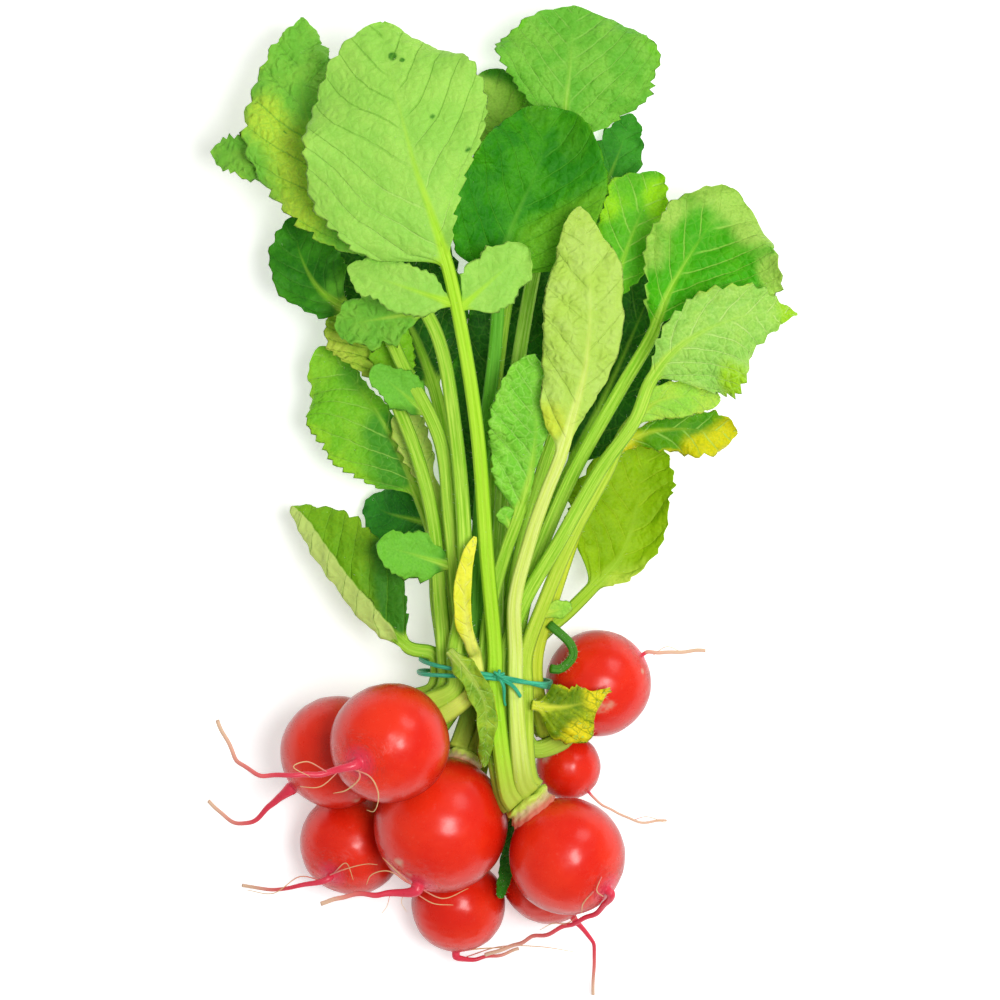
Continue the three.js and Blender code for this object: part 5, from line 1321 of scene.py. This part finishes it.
class RadishLeafSettings(bpy.types.PropertyGroup):
    """Sizes of the leaves' fine parts."""

    detail: bpy.props.FloatProperty(
        name="Detail", description="Rows and columns of each blade against the usual number",
        default=1.0, min=0.3, max=1.5)
    hairs: bpy.props.IntProperty(
        name="Hairs", description="Hairs on each leaf", default=130, min=0, max=400)
    hair_radius: bpy.props.FloatProperty(
        name="Hair radius", description="Radius of a hair where it leaves the skin",
        default=0.00005, min=0.00001, max=0.0002, unit="LENGTH", precision=5)


class RadishTieSettings(bpy.types.PropertyGroup):
    """Colours of the tie."""

    band: colour_property("Band", "Teal of the band", 6, 150, 104)
    band_light: colour_property("Light band", "Lighter ridges", 70, 204, 160)


class RadishStageSettings(bpy.types.PropertyGroup):
    """Floor, lights and camera."""

    floor: colour_property("Floor", "Colour of the floor", 250, 250, 250)
    glow: bpy.props.FloatProperty(
        name="Glow", description="Light that the floor gives of its own", default=0.42, min=0, max=2)
    key: bpy.props.FloatProperty(
        name="Main light", description="Power of the main light", default=8.5, min=0, max=200, unit="POWER")
    second: bpy.props.FloatProperty(
        name="Second light", description="Power of the second light",
        default=2.4, min=0, max=200, unit="POWER")
    sky: bpy.props.FloatProperty(
        name="Sky", description="Strength of the light from all round", default=0.35, min=0, max=4)
    eye: bpy.props.FloatProperty(
        name="Camera height", description="Height of the camera above the floor",
        default=EYE_HEIGHT * MM, min=0.5, max=4, unit="LENGTH")


def colours_of(settings, *names):
    """The named colours of some settings."""
    return {name: tuple(getattr(settings, name)) for name in names}


class RADISH_OT_roots(bpy.types.Operator):
    """Make the nine round roots with their thin roots."""

    bl_idname = "radish.roots"
    bl_label = "Roots"

    def execute(self, context):
        colours = colours_of(context.scene.radish_roots, *RadishRootSettings.__annotations__)
        material = skin_material(colours)
        for seed, radish in enumerate(RADISHES):
            shape = radish_shape(radish, 40 + 7 * seed)
            name = f"radish_{radish['name']}"
            piece(f"{name}_skin", shape, material, "radish_skin", name)
        return {"FINISHED"}


class RADISH_OT_rootlets(bpy.types.Operator):
    """Make the curly threads on the thin roots."""

    bl_idname = "radish.rootlets"
    bl_label = "Rootlets"

    def execute(self, context):
        material = thread_material("rootlet_thread", tone(222, 120, 110), tone(226, 190, 130), 0.5)
        shape = Shape()
        for _, places, radius in ROOTLETS:
            points = from_plan(places)
            dense, away = stretch_of(points, 0, len(points) - 1)
            line = line_at(dense, away, np.linspace(0, 1, max(int(away[-1] / THREAD_STEP), 12)))
            thread_tube(shape, line, radius, 0.07, THREAD_SIDES)
        piece("rootlets", shape, material, "radish_skin")
        return {"FINISHED"}


class RADISH_OT_crowns(bpy.types.Operator):
    """Make the necks between the roots and their leaf stems."""

    bl_idname = "radish.crowns"
    bl_label = "Crowns"

    def execute(self, context):
        colours = colours_of(context.scene.radish_crowns, *RadishCrownSettings.__annotations__)
        material = crown_material(colours)
        for seed, radish in enumerate(RADISHES):
            name = f"crown_{radish['name']}"
            piece(f"{name}_neck", crown_shape(radish, 70 + seed), material, "crown", name)
        return {"FINISHED"}


class RADISH_OT_leaves(bpy.types.Operator):
    """Make the leaves, each from its crown through the tie to its tip, and their hairs."""

    bl_idname = "radish.leaves"
    bl_label = "Leaves"

    def execute(self, context):
        settings = context.scene.radish_leaves
        roots, ways, lengths = [], [], []
        for number, leaf in enumerate((*LEAVES, *LOOSE_LEAVES)):
            look = look_of(leaf)
            look["columns"] = max(int(look["columns"] * settings.detail), 8)
            look["spacing"] /= settings.detail
            shape = Shape()
            if "plant" in leaf:
                points, blade_from = leaf_points(leaf)
                radii = STEM_RADIUS, STEM_RADIUS_AT_BLADE
            else:
                points, blade_from = from_plan(leaf["path"]), leaf["blade_from"]
                radii = leaf["radius"], leaf["radius"]
            rings = leaf_piece(shape, leaf, points, blade_from, *radii, look, 100 + 31 * number)
            blade_length = stretch_of(points, blade_from, len(points) - 1)[1][-1]
            material = leaf_material(f"{leaf['name']}_skin", look, vein_pitch(blade_length))
            piece(f"{leaf['name']}_blade", shape, material, leaf["tint"], leaf["name"])
            if leaf["name"] not in PAINTED_SHADE_LEAVES:
                found = hairs_on(rings, settings.hairs, 900 + number)
                for store, part in zip((roots, ways, lengths), found):
                    store.append(part)
        if settings.hairs:
            shape = hair_shape(np.vstack(roots), np.vstack(ways), np.concatenate(lengths),
                               settings.hair_radius / MM)
            material = thread_material("leaf_hair", tone(210, 232, 150), tone(240, 248, 220), 0.4)
            piece("leaf_hairs", shape, material, "leaf_green")
        return {"FINISHED"}


class RADISH_OT_tie(bpy.types.Operator):
    """Make the thin band round the stems with its knot and ends."""

    bl_idname = "radish.tie"
    bl_label = "Tie"

    def execute(self, context):
        colours = colours_of(context.scene.radish_tie, *RadishTieSettings.__annotations__)
        piece("tie_band", tie_shape(), tie_material(colours), "tie", "tie")
        return {"FINISHED"}


class RADISH_OT_stage(bpy.types.Operator):
    """Make the floor, the lights, the sky and the camera."""

    bl_idname = "radish.stage"
    bl_label = "Stage"

    # Lights: name, settings' key, way from the middle, distance and side in metres
    LIGHTS = (("main_light", "key", (0.25, -0.02, 1.0), 1.15, 0.42),
              ("second_light", "second", (0.5, 0.6, 0.6), 1.2, 0.5))
    SENSOR = 36
    VIEW_WIDTH = 0.3
    FLOOR_SIZE, FLOOR_DROP = 12, 0.0003

    def execute(self, context):
        scene, settings = context.scene, context.scene.radish_stage
        recipe = Recipe("floor_paper")
        grain = recipe.noise(recipe.node("ShaderNodeTexCoord", {}, output="Object"), 900, 2)
        colour = tuple(settings.floor)
        recipe.finish(colour, 0.85 + grain * 0.05, grain, 0.00002, **{
            "Emission Color": (1.0, 1.0, 1.0), "Emission Strength": settings.glow, "Specular IOR Level": 0.2})
        bpy.ops.mesh.primitive_plane_add(size=self.FLOOR_SIZE, location=(0, 0, -self.FLOOR_DROP))
        floor = context.object
        floor.name = "floor"
        floor.data.materials.append(recipe.material)

        middle = np.array((PLAN_SHIFT[0] * MM, PLAN_SHIFT[1] * MM, 0))
        for name, key, way, away, side in self.LIGHTS:
            lamp = bpy.data.lights.new(name, "AREA")
            lamp.energy = getattr(settings, key)
            lamp.shape, lamp.size = "DISK", side
            light = bpy.data.objects.new(name, lamp)
            place = middle + unit(way) * away
            light.location = place
            light.rotation_euler = aim(place - middle)
            scene.collection.objects.link(light)

        sky = bpy.data.worlds.new("studio")
        sky.use_nodes = True
        background = sky.node_tree.nodes["Background"]
        background.inputs["Color"].default_value = (1, 1, 1, 1)
        background.inputs["Strength"].default_value = settings.sky
        scene.world = sky

        lens = bpy.data.cameras.new("camera")
        lens.sensor_width = self.SENSOR
        lens.lens = self.SENSOR * settings.eye / self.VIEW_WIDTH
        lens.clip_start, lens.clip_end = 0.05, 20
        camera = bpy.data.objects.new("camera", lens)
        camera.location = (*middle[:2], settings.eye)
        scene.collection.objects.link(camera)
        scene.camera = camera
        scene.view_settings.view_transform = "Standard"
        return {"FINISHED"}


def aim(way):
    """The turn that makes a light look from a place along -way."""
    return Vector(way).to_track_quat("Z", "Y").to_euler()


class RADISH_PT_panel(bpy.types.Panel):
    """Lists the settings and the steps that make the bunch."""

    bl_idname = "RADISH_PT_panel"
    bl_label = "Bunch of radishes"
    bl_space_type = "VIEW_3D"
    bl_region_type = "UI"
    bl_category = "Radishes"

    def draw(self, context):
        for operator in OPERATORS:
            self.layout.operator(operator.bl_idname)
        for key, group in SETTINGS.items():
            column = self.layout.box().column()
            for name in group.__annotations__:
                column.prop(getattr(context.scene, key), name)


SETTINGS = {
    "radish_roots": RadishRootSettings,
    "radish_crowns": RadishCrownSettings,
    "radish_leaves": RadishLeafSettings,
    "radish_tie": RadishTieSettings,
    "radish_stage": RadishStageSettings,
}
OPERATORS = (RADISH_OT_roots, RADISH_OT_rootlets, RADISH_OT_crowns, RADISH_OT_leaves, RADISH_OT_tie,
             RADISH_OT_stage)


def register():
    """Add the settings, the steps and the panel to the program."""
    for group in (*SETTINGS.values(), *OPERATORS, RADISH_PT_panel):
        bpy.utils.register_class(group)
    for key, group in SETTINGS.items():
        setattr(bpy.types.Scene, key, bpy.props.PointerProperty(type=group))


def unregister():
    """Take them all out again."""
    for key in SETTINGS:
        delattr(bpy.types.Scene, key)
    for group in reversed((*SETTINGS.values(), *OPERATORS, RADISH_PT_panel)):
        bpy.utils.unregister_class(group)


def main():
    """Make the whole bunch and its stage."""
    register()
    bpy.ops.radish.roots()
    bpy.ops.radish.rootlets()
    bpy.ops.radish.crowns()
    bpy.ops.radish.leaves()
    bpy.ops.radish.tie()
    bpy.ops.radish.stage()


if __name__ == "__main__":
    main()
